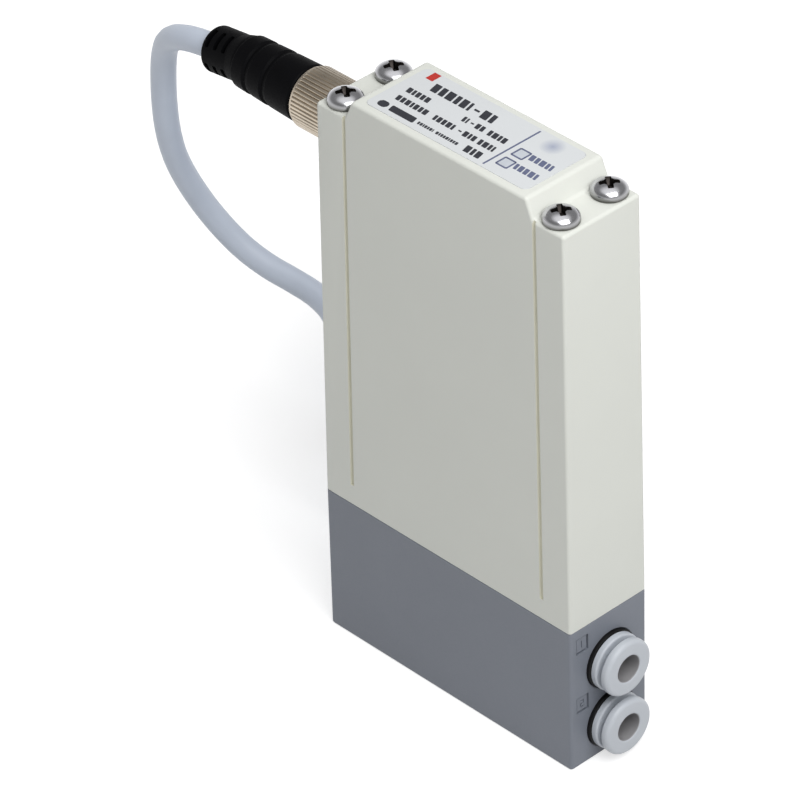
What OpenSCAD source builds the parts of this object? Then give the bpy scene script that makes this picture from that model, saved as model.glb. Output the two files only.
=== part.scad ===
// Slim electro-pneumatic regulator: a grey valve base with two push-in tube
// fittings, a tall cover over two solenoid valves, a pressure sensor and a
// control board, and a round screw-on plug with its lead.
// X runs along the body with the fittings at +X and the plug at -X, Y runs
// across the thin side, and Z runs up from the middle of the base underside.

/* [Body] */
// Length of the body along X
body_length = 49; // [47:0.5:54]
// Thickness of the body along Y
body_width = 15; // [15:0.1:18]
// Height of the grey base block
base_height = 24; // [24:0.5:28]
// Height of the cover from the parting line up to the screw ears
cover_height = 66; // [60:0.5:80]
// Height of the label plateau above the ears
plateau_height = 3; // [2.6:0.1:4]
// Length of the plateau top
plateau_length = 33.6; // [31:0.1:34]
// Run of the slope at each end of the plateau
plateau_slope = 1.3; // [0.5:0.1:1.6]
// Draft of the cover at each X end
draft_end = 0.7; // [0:0.05:1]
// Draft of the cover on each Y side
draft_side = 0.2; // [0:0.05:0.3]
// Radius of the upright edges
edge_round = 0.5; // [0.3:0.1:0.8]
// Radius of the base's lower edge at the plug end
heel_round = 1; // [0.5:0.1:1.5]
// Wall thickness of the cover's large sides
cover_wall = 1.2; // [1:0.1:1.4]
// Thickness of the cover above its hollow, at the ears
ear_roof = 1.5; // [1.2:0.1:3]
// Width of the fine groove beside each screw column
groove_width = 0.5; // [0.3:0.1:0.8]
// Depth of that groove
groove_depth = 0.3; // [0.2:0.05:0.5]
// Distance from a body end to the groove, at the parting line
groove_inset = 5.5; // [5:0.1:6]
// Height of the groove's lower end above the parting line
groove_start = 3.4; // [2:0.1:8]

/* [Screws] */
// Radius of the screw shank
screw_radius = 1.5; // [1.2:0.05:1.6]
// Radius of the pan head
head_radius = 2.65; // [2.2:0.05:2.75]
// Height of the pan head
head_height = 1.9; // [1.5:0.1:2.2]
// Distance from a body end to the screw axis
screw_end_inset = 3.8; // [3.6:0.05:4]
// Distance from a body side to the screw axis
screw_side_inset = 2.95; // [2.9:0.05:3.1]
// Depth of the screw in the base block
screw_grip = 4; // [3:0.1:4.2]
// Width of the cross recess
cross_width = 0.85; // [0.5:0.05:0.9]
// Length of the cross recess
cross_length = 3; // [2:0.1:3.4]
// Depth of the cross recess
cross_depth = 1.2; // [0.8:0.05:1.3]

/* [Fittings] */
// Height of the lower port axis
port_low_height = 5.4; // [5.3:0.1:6]
// Distance between the two port axes
port_pitch = 10.4; // [10.2:0.1:11]
// Place of the port axes across the body
port_y = 0.35; // [0:0.05:0.4]
// Bore radius of a release button, for a 4 mm tube
tube_bore = 2.1; // [2.05:0.01:2.15]
// Outer radius of the fitting sleeve inside the base
sleeve_radius = 4; // [3.9:0.05:4.1]
// Outer radius of the sleeve's rim outside the base
sleeve_rim = 4.4; // [4.2:0.05:4.5]
// Length of the sleeve outside the base
sleeve_show = 1.6; // [1.5:0.1:2.2]
// Length of the sleeve inside the base
sleeve_depth = 11.5; // [11:0.1:12]
// Outer radius of the release button's flange
flange_radius = 4.2; // [4:0.05:4.4]
// Thickness of that flange
flange_thick = 1.4; // [1.2:0.1:1.8]
// Open gap between the flange and the sleeve
button_gap = 0.7; // [0.6:0.05:1.2]
// Width of the black collar around the sleeve
ring_width = 0.6; // [0.5:0.05:0.65]
// Height of the black collar outside the base
ring_proud = 0.8; // [0.5:0.1:0.9]
// Side of the square port mark, across
mark_width = 2.4; // [2:0.1:2.6]
// Side of the square port mark, upright
mark_height = 2.7; // [2:0.1:3]
// Depth of the port mark
mark_depth = 0.35; // [0.15:0.05:0.4]

/* [Valves] */
// Distance of each valve axis from the middle, along X
valve_offset = 8.4; // [8.2:0.1:9]
// Place of the valve axes across the body
valve_y = -1.2; // [-1.4:0.1:-1]
// Height of the solenoid frame
yoke_height = 21; // [18:0.5:30]
// Width of the solenoid frame along X
yoke_width = 8.6; // [8.4:0.1:10]
// Depth of the solenoid frame along Y
yoke_depth = 7.2; // [7:0.1:7.4]
// Sheet thickness of the solenoid frame
yoke_sheet = 1; // [0.8:0.1:1.2]
// Radius of the plunger
plunger_radius = 1.4; // [1.3:0.05:1.5]
// Free travel between plunger and fixed core
plunger_gap = 0.6; // [0.55:0.05:0.9]
// Height of the fixed core's lower face above the base
core_height = 10; // [8:0.5:12]
// Radius of the coil winding
winding_radius = 3.1; // [2.8:0.05:3.2]

/* [Board] */
// Place of the control board's front face across the body
board_y = 3.6; // [3.4:0.1:3.7]
// Thickness of the control board
board_thick = 1.2; // [1:0.1:1.4]
// Height of the control board's lower edge above the base
board_lift = 2; // [1:0.1:5]

/* [Label] */
// Margin between plateau edge and label
label_margin = 1.3; // [0.8:0.1:2]
// Thickness of the label
label_thick = 0.2; // [0.18:0.01:0.3]
// Corner radius of the label
label_round = 1; // [0.5:0.1:2]
// Distance of the indicator windows from the middle, along X
indicator_x = 8.9; // [8:0.1:11]
// Place of the first indicator window across the body
indicator_y = -0.2; // [-1:0.1:0]
// Distance between the two indicator windows
indicator_pitch = 2.9; // [2.8:0.1:3.6]
// Side of an indicator window
indicator_side = 1.6; // [1.2:0.1:1.8]

/* [Plug] */
// Distance from the ears down to the plug axis
plug_drop = 6.4; // [6:0.1:10]
// Outer radius of the receptacle's threaded tube
thread_radius = 3.95; // [3.9:0.01:4]
// Length of the threaded tube
thread_length = 7.3; // [7:0.1:7.5]
// Outer radius of the coupling nut
nut_radius = 4.7; // [4.6:0.05:5]
// Length of the coupling nut
nut_length = 8.6; // [8.4:0.1:10]
// Number of knurl ridges on the nut
nut_ridges = 48; // [32:2:60]
// Depth of the knurl
knurl_depth = 0.2; // [0.1:0.05:0.3]
// Radius of the moulded plug body at the nut
plug_radius = 4.4; // [4.2:0.05:4.6]
// Length of the moulded plug body behind the nut
plug_length = 12.2; // [11:0.1:12.5]
// Radius of the slotted strain relief
relief_radius = 3.45; // [3.2:0.05:3.8]
// Radius of each contact pin
pin_radius = 0.4; // [0.35:0.01:0.45]
// Radius of the circle that the pins stand on
pin_circle = 1.3; // [1.2:0.05:1.35]

/* [Cable] */
// Diameter of the cable
cable_diameter = 3.8; // [3.6:0.1:4]
// Straight length of the hank's runs
hank_run = 27; // [20:1:32]
// Columns of turns across each run
hank_columns = 3; // [2:1:3]
// Layers of turns in the hank
hank_layers = 7; // [5:1:7]
// Strap thickness of the hank tie
tie_thick = 0.6; // [0.4:0.1:0.8]
// Strap width of the hank tie
tie_width = 10; // [6:1:14]

/* [Hidden] */
$fn = 48;
// Clearances: still fits, sliding fits and loose cuts
fit_gap = 0.03;
slide_gap = 0.12;
cut_over = 1;
loft_skin = 0.01;
hull_fn = 24;

// Body levels and places
half_length = body_length / 2;
half_width = body_width / 2;
ear_z = base_height + cover_height;
top_z = ear_z + plateau_height;
screw_x = half_length - screw_end_inset;
screw_y = half_width - screw_side_inset;
screw_clear = 0.08;
screw_hole = screw_radius + screw_clear;
screw_tip_z = base_height - screw_grip;
screw_tip_room = 0.3;
head_side_share = 0.3;
crown_power = 0.75;
cross_turn = 57;
column_wall = 1.8;
cavity_x = screw_x - screw_hole - column_wall;
cavity_y = half_width - draft_side - cover_wall;
cavity_top = ear_z - ear_roof;
gasket_thick = 0.8;
gasket_width = 0.6;
gasket_inset = 0.25;

// Fittings, measured outward from the face at +X
port_high_height = port_low_height + port_pitch;
guide_wall = 1;
guide_bore = sleeve_radius - guide_wall;
chuck_wall = 0.5;
chuck_bore = sleeve_radius - chuck_wall;
guide_depth = 4;
sleeve_floor = 1.5;
seat_depth = sleeve_depth - sleeve_floor;
sleeve_way = 1.3;
sleeve_edge = 0.25;
flange_back = sleeve_show + button_gap;
flange_front = flange_back + flange_thick;
flange_corner = 0.6;
mouth_flare = 0.2;
stem_radius = guide_bore - slide_gap;
stem_short = 0.4;
stem_end = guide_depth - stem_short;
stem_taper = 0.2;
stem_taper_length = 0.4;
flange_back_edge = 0.3;
press_gap = 0.2;
button_travel = button_gap - press_gap;
chuck_gap = 0.2;
chuck_front = stem_end + button_travel + chuck_gap;
chuck_length = 2.3;
chuck_sheet = 0.4;
chuck_clear = 0.05;
claw_slots = 8;
claw_slot_width = 0.4;
claw_root = 0.9;
claw_front = 1.35;
claw_back = 1.7;
claw_clear = 0.1;
seal_gap = 0.4;
seal_front = chuck_front + chuck_length + seal_gap;
seal_clear = 0.05;
seal_inner = tube_bore + seal_clear;
seal_lip = 0.5;
ring_depth = 1.1;
plenum = 0.5;
mark_inset = 2.35;
mark_y = mark_inset - half_width;
mark_rise = 5.35;

// Valve levels, upward from the base underside
chamber_radius = 2.6;
chamber_depth = 4.5;
chamber_floor = base_height - chamber_depth;
seat_rise = 0.8;
seat_radius = 1.2;
orifice = 0.6;
poppet_z = chamber_floor + seat_rise + fit_gap;
poppet_radius = 0.9;
poppet_show = 0.3;
poppet_height = 0.9;
plunger_z = poppet_z + poppet_show;
plunger_lip = 0.6;
plunger_lip_radius = 2.2;
core_z = base_height + core_height;
plunger_top = core_z - plunger_gap;
core_tight = 0.05;
core_radius = plunger_radius + slide_gap - core_tight;
bobbin_bore = plunger_radius + slide_gap;
bobbin_wall = 0.55;
bobbin_tube = bobbin_bore + bobbin_wall;
bobbin_proud = 0.2;
bobbin_flange = winding_radius + bobbin_proud;
bobbin_plate = 0.8;
bobbin_z = base_height + yoke_sheet + fit_gap;
bobbin_top = base_height + yoke_height - yoke_sheet - fit_gap;
core_head_radius = 2.2;
core_head = 0.8;
core_head_edge = 0.4;
yoke_clear = 0.1;
spring_clear = 0.45;
spring_radius = plunger_radius + spring_clear;
spring_wire = 0.17;
spring_turns = 4;
spring_steps = 14;
spring_sides = 6;
spring_z = plunger_z + plunger_lip + spring_wire;
spring_top = base_height - spring_wire;
terminal_radius = 0.25;
terminal_spread = 1.5;
terminal_sunk = 0.8;
terminal_block = 4;
terminal_block_width = 4.4;
link_depth = 2.5;
link_z = base_height - link_depth;
exhaust_z = base_height / 2;
exhaust_bore = 1.5;
exhaust_depth = 10;
mount_hole = 1.25;
mount_depth = 6;
mount_middle = -6;
mount_pitch = 22;

// Sensor and board levels
nozzle_radius = 1.2;
nozzle_length = 1.8;
oring_section = 0.35;
oring_pocket = 0.8;
oring_room = 2.5;
oring_clear = 0.05;
sensor_size = [6.4, 5, 5];
lead_pitch = 1.6;
lead_width = 0.5;
lead_lift = 3;
board_margin = 0.4;
board_half = cavity_x - board_margin;
board_z = base_height + board_lift;
board_top_gap = 0.5;
board_top = cavity_top - board_top_gap;
chip_thick_most = 1;
chip_clear = 0.2;
// Packages: place along X, rise of the middle, size
front_chips = [
    [-4, 12, [7, 1.1, 7]], [7, 10, [5, 1.3, 4]], [7, 17, [5, 1.3, 4]],
    [-11, 22, [4, 2.2, 3]], [2, 24, [3.2, 1.6, 1.6]]
];
back_chips = [[-8, 20, [6, 5]], [6, 14, [5, 6.5]]];
resistors = 5;
resistor_start = -12;
resistor_pitch = 2.4;
resistor_rise = 32;
resistor_size = [1.2, 0.6, 2];

// Label and indicators
label_sunk = 0.15;
label_length = plateau_length - 2 * label_margin;
label_width = body_width - 2 * draft_side - 2 * label_margin;
label_z = top_z - label_sunk;
led_height = 0.9;
led_side = 1.4;
guide_arm_drop = 2;
guide_arm_depth = 3;
guide_arm_z = cavity_top - guide_arm_depth;

// Plug, measured outward from the cover's face at -X
plug_z = ear_z - plug_drop;
plug_face = half_length - draft_end * (plug_z - base_height) / cover_height;
socket_seat = 1.1;
socket_gasket = 0.3;
socket_flange = 4.25;
stub_radius = 2.4;
stub_end = plug_face - cavity_x;
thread_wall = 0.8;
tube_inner = thread_radius - thread_wall;
thread_lead_in = 0.3;
tube_floor = 0.6;
insert_disc = 1.5;
insert_stem = 2;
pin_clear = 0.02;
pin_hole = pin_radius + pin_clear;
pin_recess = 1;
pin_front = thread_length - pin_recess;
pin_taper = 0.2;
link_board = 1;
link_board_gap = 0.1;
link_board_reach = 4.4;
pin_tail = 0.4;
pin_back = stub_end + link_board_gap + link_board + pin_tail;
nut_front = 0.35;
nut_back = nut_front + nut_length;
nut_clear = 0.1;
nut_bore = thread_radius + nut_clear;
nut_lip = 3.3;
nut_lip_gap = 0.65;
nut_lip_front = thread_length + nut_lip_gap;
rim_drop = 0.05;
rim_radius = nut_radius - knurl_depth - rim_drop;
front_rim = 0.8;
front_chamfer = 0.4;
back_rim = 0.6;
back_chamfer = 0.4;
neck_radius = nut_lip - nut_clear;
neck_flange_clear = 0.2;
neck_flange = nut_bore - neck_flange_clear;
neck_front_gap = 0.1;
neck_front = thread_length + neck_front_gap;
neck_flange_gap = 0.05;
carrier_clear = 0.15;
carrier_radius = tube_inner - carrier_clear;
carrier_gap = 0.05;
carrier_front = tube_floor + insert_disc + carrier_gap;
carrier_short = 0.1;
carrier_back = nut_lip_front - carrier_short;
contact_wall = 0.28;
contact_radius = pin_hole + contact_wall;
contact_sunk = 0.1;
contact_over = 0.2;
contact_room = 0.3;
plug_gap = 0.1;
plug_front = nut_back + plug_gap;
plug_edge = 0.35;
plug_taper = 0.4;
plug_back = plug_front + plug_length;
plug_grooves = [5.2, 8.9];
plug_groove_width = 0.9;
plug_groove_depth = 0.35;
plug_groove_flank = 0.15;
relief_sunk = 0.4;
relief_cone = 1.7;
relief_slots = [2, 3.7, 5.4];
relief_slot_width = 0.75;
relief_slot_depth = 0.9;
relief_slot_turn = -33;
relief_rib = 2;
relief_shoulder = 0.25;
relief_collar = 0.1;
relief_end_edge = 0.8;
relief_length = 7.3;
relief_drop = 0.9;

// Cable route, chosen by hand, from the strain relief to the hank
cable_radius = cable_diameter / 2;
cable_sides = 8;
plug_axis_x = -(plug_face + plug_back);
cable_exit = [plug_axis_x - relief_length, 0, plug_z - relief_drop];
cable_sunk = 0.3;
cable_start = cable_exit + cable_sunk * unit([plug_axis_x, 0, plug_z] - cable_exit);
route_rest = [
    [-56.5, 0, 82.1], [-60.4, 0.6, 80.6], [-63.8, 1.6, 78.3], [-66.5, 2.9, 75.3],
    [-68.3, 3.9, 71.7], [-69.4, 4.6, 67.8], [-70.1, 5.1, 63.6], [-70.7, 5.8, 59.5],
    [-71.3, 6.8, 55.5], [-71.8, 8.1, 51.6], [-72, 9.7, 47.7], [-71.7, 11.5, 43.8],
    [-70.8, 13.1, 40.1], [-68.9, 14.7, 36.7], [-66.2, 16, 33.8], [-62.8, 17.4, 31.7],
    [-58.9, 18.6, 30.5], [-54.8, 19.1, 29.8], [-50.7, 18.5, 29.1], [-46.9, 16.9, 28.2],
    [-43.6, 14.7, 27], [-39.9, 12.9, 26.1], [-35.9, 11.9, 25.6]
];
relief_run = norm(cable_exit - [plug_axis_x, 0, plug_z]);
relief_droop = asin((plug_z - cable_exit.z) / relief_run);

// Hank of the put-away length, on the floor behind the body
hank_fold_place = [-31.7, 31.2, 0];
hank_turn = 137;
hank_way = [cos(hank_turn), sin(hank_turn), 0];
hank_place = hank_fold_place + hank_way * hank_run / 2;
turn_gap = 0.05;
turn_pitch = cable_diameter + turn_gap;
column_gap = 0.2;
column_pitch = cable_diameter + column_gap;
fold_diameters = 3;
fold_radius = fold_diameters * cable_diameter;
hank_inner = fold_radius - cable_radius;
hank_outer = fold_radius + (hank_columns - 1) * column_pitch + cable_radius;
hank_height = hank_layers * turn_pitch;
hank_join_radius = hank_outer - cable_radius;
hank_join_z = tie_thick + hank_height - turn_pitch + cable_radius;
hank_join = hank_fold_place + [0, -hank_join_radius, hank_join_z];
cable_route = concat([cable_start], route_rest, [hank_join]);

// Cable end inside the hank: run and cross places with heights
end_clear = 2.3;
end_lane = end_clear - hank_inner;
end_start = -hank_run / 2;
end_room = 6.5;
end_stop = hank_run / 2 - end_room;
end_straight = 3;
end_drop = 0.5;
end_drift = 0.4;
end_sag = 0.2;
core_length = 9;
core_radius_wire = 0.55;
core_spread = 0.6;

// Shared shapes

function unit(v) = v / norm(v);

// Direction of a route at each of its points
function route_ways(p) = [
    for (i = [0 : len(p) - 1])
        unit(p[min(i + 1, len(p) - 1)] - p[max(i - 1, 0)])
];

// Side vectors carried along a route without twist
function carry_side(ways, side, i = 0) =
    i == len(ways) ? [] :
    let (kept = unit(side - (side * ways[i]) * ways[i]))
    concat([kept], carry_side(ways, kept, i + 1));

// Tube of a given radius swept along a route
module swept_tube(route, radius, sides, side) {
    ways = route_ways(route);
    side_vectors = carry_side(ways, side);
    points = [
        for (i = [0 : len(route) - 1], k = [0 : sides - 1])
            route[i] + radius * (cos(360 * k / sides) * side_vectors[i]
                + sin(360 * k / sides) * cross(ways[i], side_vectors[i]))
    ];
    last = (len(route) - 1) * sides;
    walls = [
        for (i = [0 : len(route) - 2], k = [0 : sides - 1])
            let (a = i * sides + k, b = i * sides + (k + 1) % sides)
            [a, a + sides, b + sides, b]
    ];
    first_cap = [for (k = [0 : sides - 1]) k];
    last_cap = [for (k = [sides - 1 : -1 : 0]) last + k];
    polyhedron(points, concat([first_cap], walls, [last_cap]), convexity = 8);
}

module rounded_plate(length, width, corner, height) {
    linear_extrude(height)
        union() {
            square([length - 2 * corner, width], center = true);
            square([length, width - 2 * corner], center = true);
            for (sx = [-1, 1], sy = [-1, 1])
                translate([sx * (length / 2 - corner), sy * (width / 2 - corner)])
                    circle(corner);
        }
}

// Children turned so that their Z points out of the fittings' face
module at_port(height) {
    translate([half_length, port_y, height])
        rotate([0, 90, 0])
            children();
}

// Children turned so that their Z points out of the cover at the plug
module at_plug() {
    translate([-plug_face, 0, plug_z])
        rotate([0, -90, 0])
            children();
}

module at_screws() {
    for (sx = [-1, 1], sy = [-1, 1])
        translate([sx * screw_x, sy * screw_y, 0])
            children();
}

module at_valve(side) {
    translate([side * valve_offset, valve_y, 0])
        children();
}

module ring(outer, inner, from, to) {
    translate([0, 0, from])
        difference() {
            cylinder(r = outer, h = to - from);
            translate([0, 0, -cut_over])
                cylinder(r = inner, h = to - from + 2 * cut_over);
        }
}

module at_pins() {
    for (k = [0 : 3])
        rotate(45 + 90 * k)
            translate([pin_circle, 0, 0])
                children();
}

// Base block

module port_cuts(height) {
    at_port(height) {
        translate([0, 0, -sleeve_depth - plenum])
            cylinder(r = sleeve_radius + fit_gap, h = sleeve_depth + plenum + cut_over);
        translate([0, 0, -ring_depth])
            cylinder(r = sleeve_radius + ring_width + fit_gap, h = ring_depth + cut_over);
    }
    translate([half_length - mark_depth, mark_y - mark_width / 2, height + mark_rise - mark_height / 2])
        cube([mark_depth + cut_over, mark_width, mark_height]);
}

module valve_cuts() {
    translate([0, 0, chamber_floor])
        cylinder(r = chamber_radius, h = base_height - chamber_floor + cut_over);
}

module valve_seat(drop_z) {
    difference() {
        translate([0, 0, chamber_floor])
            cylinder(r = seat_radius, h = seat_rise);
        translate([0, 0, drop_z])
            cylinder(r = orifice, h = base_height);
    }
}

module air_passages() {
    plenum_x = half_length - sleeve_depth - plenum;
    // Supply: from the upper port up through the supply seat
    translate([valve_offset - orifice, valve_y, port_high_height])
        rotate([0, 90, 0])
            cylinder(r = orifice, h = plenum_x - valve_offset + orifice + cut_over);
    at_valve(1)
        translate([0, 0, port_high_height])
            cylinder(r = orifice, h = base_height - port_high_height);
    // Output: from the lower port up into the supply chamber
    translate([valve_offset, valve_y - seat_radius - orifice, port_low_height])
        rotate([0, 90, 0])
            cylinder(r = orifice, h = plenum_x - valve_offset + cut_over);
    translate([valve_offset + orifice, valve_y - seat_radius - orifice, port_low_height])
        cylinder(r = orifice, h = base_height - port_low_height - cut_over);
    // Link between both chambers, under the sensor
    translate([-valve_offset, valve_y, link_z])
        rotate([0, 90, 0])
            cylinder(r = orifice, h = 2 * valve_offset);
    // Exhaust: from the exhaust seat down and out at the plug end
    at_valve(-1)
        translate([0, 0, exhaust_z])
            cylinder(r = orifice, h = base_height - exhaust_z);
    translate([-half_length - cut_over, valve_y, exhaust_z])
        rotate([0, 90, 0])
            cylinder(r = exhaust_bore, h = exhaust_depth + cut_over);
    translate([-half_length, valve_y, exhaust_z])
        rotate([0, 90, 0])
            cylinder(r = orifice, h = half_length - valve_offset + orifice);
}

module base_block() {
    color([0.47, 0.49, 0.53]) {
        difference() {
            rounded_plate(body_length, body_width, edge_round, base_height);
            port_cuts(port_low_height);
            port_cuts(port_high_height);
            for (side = [-1, 1])
                at_valve(side)
                    valve_cuts();
            air_passages();
            gasket_cut();
            at_screws()
                translate([0, 0, screw_tip_z - screw_tip_room])
                    cylinder(r = screw_radius + fit_gap, h = screw_grip + cut_over);
            translate([0, valve_y, link_z])
                cylinder(r = nozzle_radius + fit_gap, h = base_height);
            translate([0, valve_y, base_height - oring_pocket])
                cylinder(r = nozzle_radius + oring_room * oring_section, h = base_height);
            for (side = [-1, 1])
                translate([mount_middle + side * mount_pitch / 2, 0, -cut_over])
                    cylinder(r = mount_hole, h = mount_depth + cut_over);
            heel_cut();
        }
        at_valve(1)
            valve_seat(port_high_height);
        at_valve(-1)
            valve_seat(exhaust_z);
    }
}

// Quarter-round taken off the lower edge at the plug end
module heel_cut() {
    translate([-half_length, -half_width - cut_over, 0])
        rotate([-90, 0, 0])
            linear_extrude(body_width + 2 * cut_over)
                difference() {
                    translate([-cut_over, -heel_round])
                        square(heel_round + cut_over);
                    translate([heel_round, -heel_round])
                        circle(heel_round);
                }
}

module gasket_outline(grow) {
    difference() {
        square([
            2 * (cavity_x + gasket_inset + gasket_width + grow),
            2 * (cavity_y + gasket_inset + gasket_width + grow)
        ], center = true);
        square([
            2 * (cavity_x + gasket_inset - grow),
            2 * (cavity_y + gasket_inset - grow)
        ], center = true);
    }
}

module gasket_cut() {
    translate([0, 0, base_height - gasket_thick])
        linear_extrude(gasket_thick + cut_over)
            gasket_outline(fit_gap);
}

module base_gasket() {
    color([0.12, 0.12, 0.13])
        translate([0, 0, base_height - gasket_thick])
            linear_extrude(gasket_thick)
                gasket_outline(0);
}

// Cover

module cover_form() {
    ear_length = body_length - 2 * draft_end;
    ear_width = body_width - 2 * draft_side;
    slope_length = plateau_length + 2 * plateau_slope;
    hull() {
        translate([0, 0, base_height])
            rounded_plate(body_length, body_width, edge_round, loft_skin, $fn = hull_fn);
        translate([0, 0, ear_z - loft_skin])
            rounded_plate(ear_length, ear_width, edge_round, loft_skin, $fn = hull_fn);
    }
    hull() {
        translate([0, 0, ear_z - loft_skin])
            rounded_plate(slope_length, ear_width, edge_round, loft_skin, $fn = hull_fn);
        translate([0, 0, top_z - loft_skin])
            rounded_plate(plateau_length, ear_width, edge_round, loft_skin, $fn = hull_fn);
    }
}

// Fine upright groove on a large side, leaning with the draft
module cover_groove(end, side) {
    lean = atan(draft_end / cover_height);
    tip = atan(draft_side / cover_height);
    translate([end * (half_length - groove_inset), side * half_width, base_height])
        rotate([side * tip, -end * lean, 0])
            translate([-groove_width / 2, side > 0 ? -groove_depth : -cut_over, groove_start])
                cube([groove_width, groove_depth + cut_over, cover_height]);
}

module cover() {
    color([0.87, 0.87, 0.84])
        difference() {
            cover_form();
            translate([-cavity_x, -cavity_y, base_height - cut_over])
                cube([2 * cavity_x, 2 * cavity_y, cavity_top - base_height + cut_over]);
            at_screws()
                translate([0, 0, base_height - cut_over])
                    cylinder(r = screw_hole, h = cover_height + 2 * cut_over);
            at_plug() {
                translate([0, 0, -socket_seat])
                    cylinder(r = socket_flange + fit_gap, h = socket_seat + cut_over);
                translate([0, 0, -stub_end - cut_over])
                    cylinder(r = stub_radius + fit_gap, h = stub_end + cut_over);
            }
            translate([0, 0, label_z])
                rounded_plate(label_length + 2 * fit_gap, label_width + 2 * fit_gap, label_round, cut_over);
            for (k = [0, 1])
                translate([indicator_x, indicator_y - k * indicator_pitch, cavity_top - cut_over])
                    linear_extrude(top_z)
                        square(indicator_side + 2 * fit_gap, center = true);
            for (end = [-1, 1], side = [-1, 1])
                cover_groove(end, side);
        }
}

// Pan head with a rounded crown and a cross recess, on a plain shank
module cover_screw() {
    side = head_height * head_side_share;
    crown = [
        for (a = [0 : 15 : 90])
            [head_radius * pow(cos(a), crown_power), side + (head_height - side) * sin(a)]
    ];
    difference() {
        union() {
            translate([0, 0, screw_tip_z])
                cylinder(r = screw_radius, h = ear_z - screw_tip_z);
            translate([0, 0, ear_z])
                rotate_extrude()
                    polygon(concat([[0, 0], [head_radius, 0]], crown));
        }
        for (turn = [cross_turn, cross_turn + 90])
            translate([0, 0, ear_z + head_height])
                rotate(turn)
                    cube([cross_length, cross_width, 2 * cross_depth], center = true);
    }
}

module cover_screws() {
    color([0.78, 0.78, 0.76])
        at_screws()
            cover_screw();
}

// Label and indicators

module label_plate() {
    color([0.82, 0.85, 0.87])
        difference() {
            translate([0, 0, label_z])
                rounded_plate(label_length, label_width, label_round, label_thick);
            for (k = [0, 1])
                translate([indicator_x, indicator_y - k * indicator_pitch, label_z - cut_over])
                    linear_extrude(3 * cut_over)
                        square(indicator_side + 2 * fit_gap, center = true);
        }
}

// Clear guides that carry light from the board up to the label windows
module light_guides() {
    half_side = indicator_side / 2;
    color([0.9, 0.95, 0.92])
        for (k = [0, 1]) {
            guide_y = indicator_y - k * indicator_pitch;
            arm_z = guide_arm_z - k * guide_arm_drop;
            arm_end = board_y - led_height;
            translate([indicator_x - half_side, guide_y - half_side, arm_z]) {
                cube([indicator_side, indicator_side, label_z + label_thick - arm_z]);
                cube([indicator_side, arm_end - guide_y + half_side, indicator_side]);
            }
        }
}

module indicator_leds() {
    color([0.9, 0.88, 0.6])
        for (k = [0, 1])
            translate([
                indicator_x - led_side / 2,
                board_y - led_height,
                guide_arm_z - k * guide_arm_drop + (indicator_side - led_side) / 2
            ])
                cube([led_side, led_height, led_side]);
}

// Control board

module circuit_board() {
    color([0.1, 0.35, 0.2])
        translate([-board_half, board_y, board_z])
            cube([2 * board_half, board_thick, board_top - board_z]);
}

// One package on the board: place along X, height of its middle, size, side
module chip(x, z, size, side) {
    y = side > 0 ? board_y + board_thick : board_y - size.y;
    translate([x - size.x / 2, y, z - size.z / 2])
        cube(size);
}

module board_components() {
    back_room = cavity_y - board_y - board_thick - chip_clear;
    chip_thick = min(chip_thick_most, back_room);
    over_valves = base_height + yoke_height;
    color([0.15, 0.15, 0.16]) {
        for (c = front_chips)
            chip(c[0], over_valves + c[1], c[2], -1);
        for (c = back_chips)
            chip(c[0], base_height + c[1], [c[2].x, chip_thick, c[2].y], 1);
        for (k = [0 : resistors - 1])
            chip(resistor_start + resistor_pitch * k, base_height + resistor_rise, resistor_size, 1);
    }
}

module pressure_sensor() {
    color([0.75, 0.75, 0.78])
        translate([0, valve_y, base_height]) {
            translate([-sensor_size.x / 2, -sensor_size.y / 2, 0])
                cube(sensor_size);
            translate([0, 0, -nozzle_length])
                difference() {
                    cylinder(r = nozzle_radius, h = nozzle_length + cut_over);
                    translate([0, 0, -cut_over])
                        cylinder(r = orifice, h = nozzle_length + cut_over);
                }
            for (k = [-1 : 1])
                translate([k * lead_pitch - lead_width / 2, sensor_size.y / 2 - fit_gap, lead_lift])
                    cube([lead_width, board_y - valve_y - sensor_size.y / 2 + fit_gap, lead_width]);
        }
}

module sensor_seal() {
    color([0.1, 0.1, 0.1])
        translate([0, valve_y, base_height - oring_pocket / 2])
            rotate_extrude()
                translate([nozzle_radius + oring_section + oring_clear, 0])
                    circle(oring_section);
}

// Solenoid valves

module yoke() {
    color([0.62, 0.63, 0.65])
        difference() {
            translate([-yoke_width / 2, -yoke_depth / 2, base_height])
                cube([yoke_width, yoke_depth, yoke_height]);
            translate([-yoke_width / 2 + yoke_sheet, -yoke_depth, base_height + yoke_sheet])
                cube([yoke_width - 2 * yoke_sheet, 2 * yoke_depth, yoke_height - 2 * yoke_sheet]);
            translate([0, 0, base_height - cut_over])
                cylinder(r = bobbin_bore + yoke_clear, h = 2 * cut_over + yoke_sheet);
            translate([0, 0, base_height + yoke_height - yoke_sheet - cut_over])
                cylinder(r = core_radius + fit_gap, h = yoke_sheet + 2 * cut_over);
        }
}

module bobbin() {
    color([0.93, 0.91, 0.84])
        difference() {
            union() {
                translate([0, 0, bobbin_z])
                    cylinder(r = bobbin_tube, h = bobbin_top - bobbin_z);
                for (z = [bobbin_z, bobbin_top - bobbin_plate])
                    translate([0, 0, z])
                        cylinder(r = bobbin_flange, h = bobbin_plate);
                translate([-terminal_block_width / 2, 0, bobbin_top - bobbin_plate])
                    cube([terminal_block_width, terminal_block, bobbin_plate]);
            }
            translate([0, 0, bobbin_z - cut_over])
                cylinder(r = bobbin_bore, h = bobbin_top - bobbin_z + 2 * cut_over);
            for (side = [-1, 1])
                terminal(side, fit_gap, cut_over);
        }
}

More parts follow.
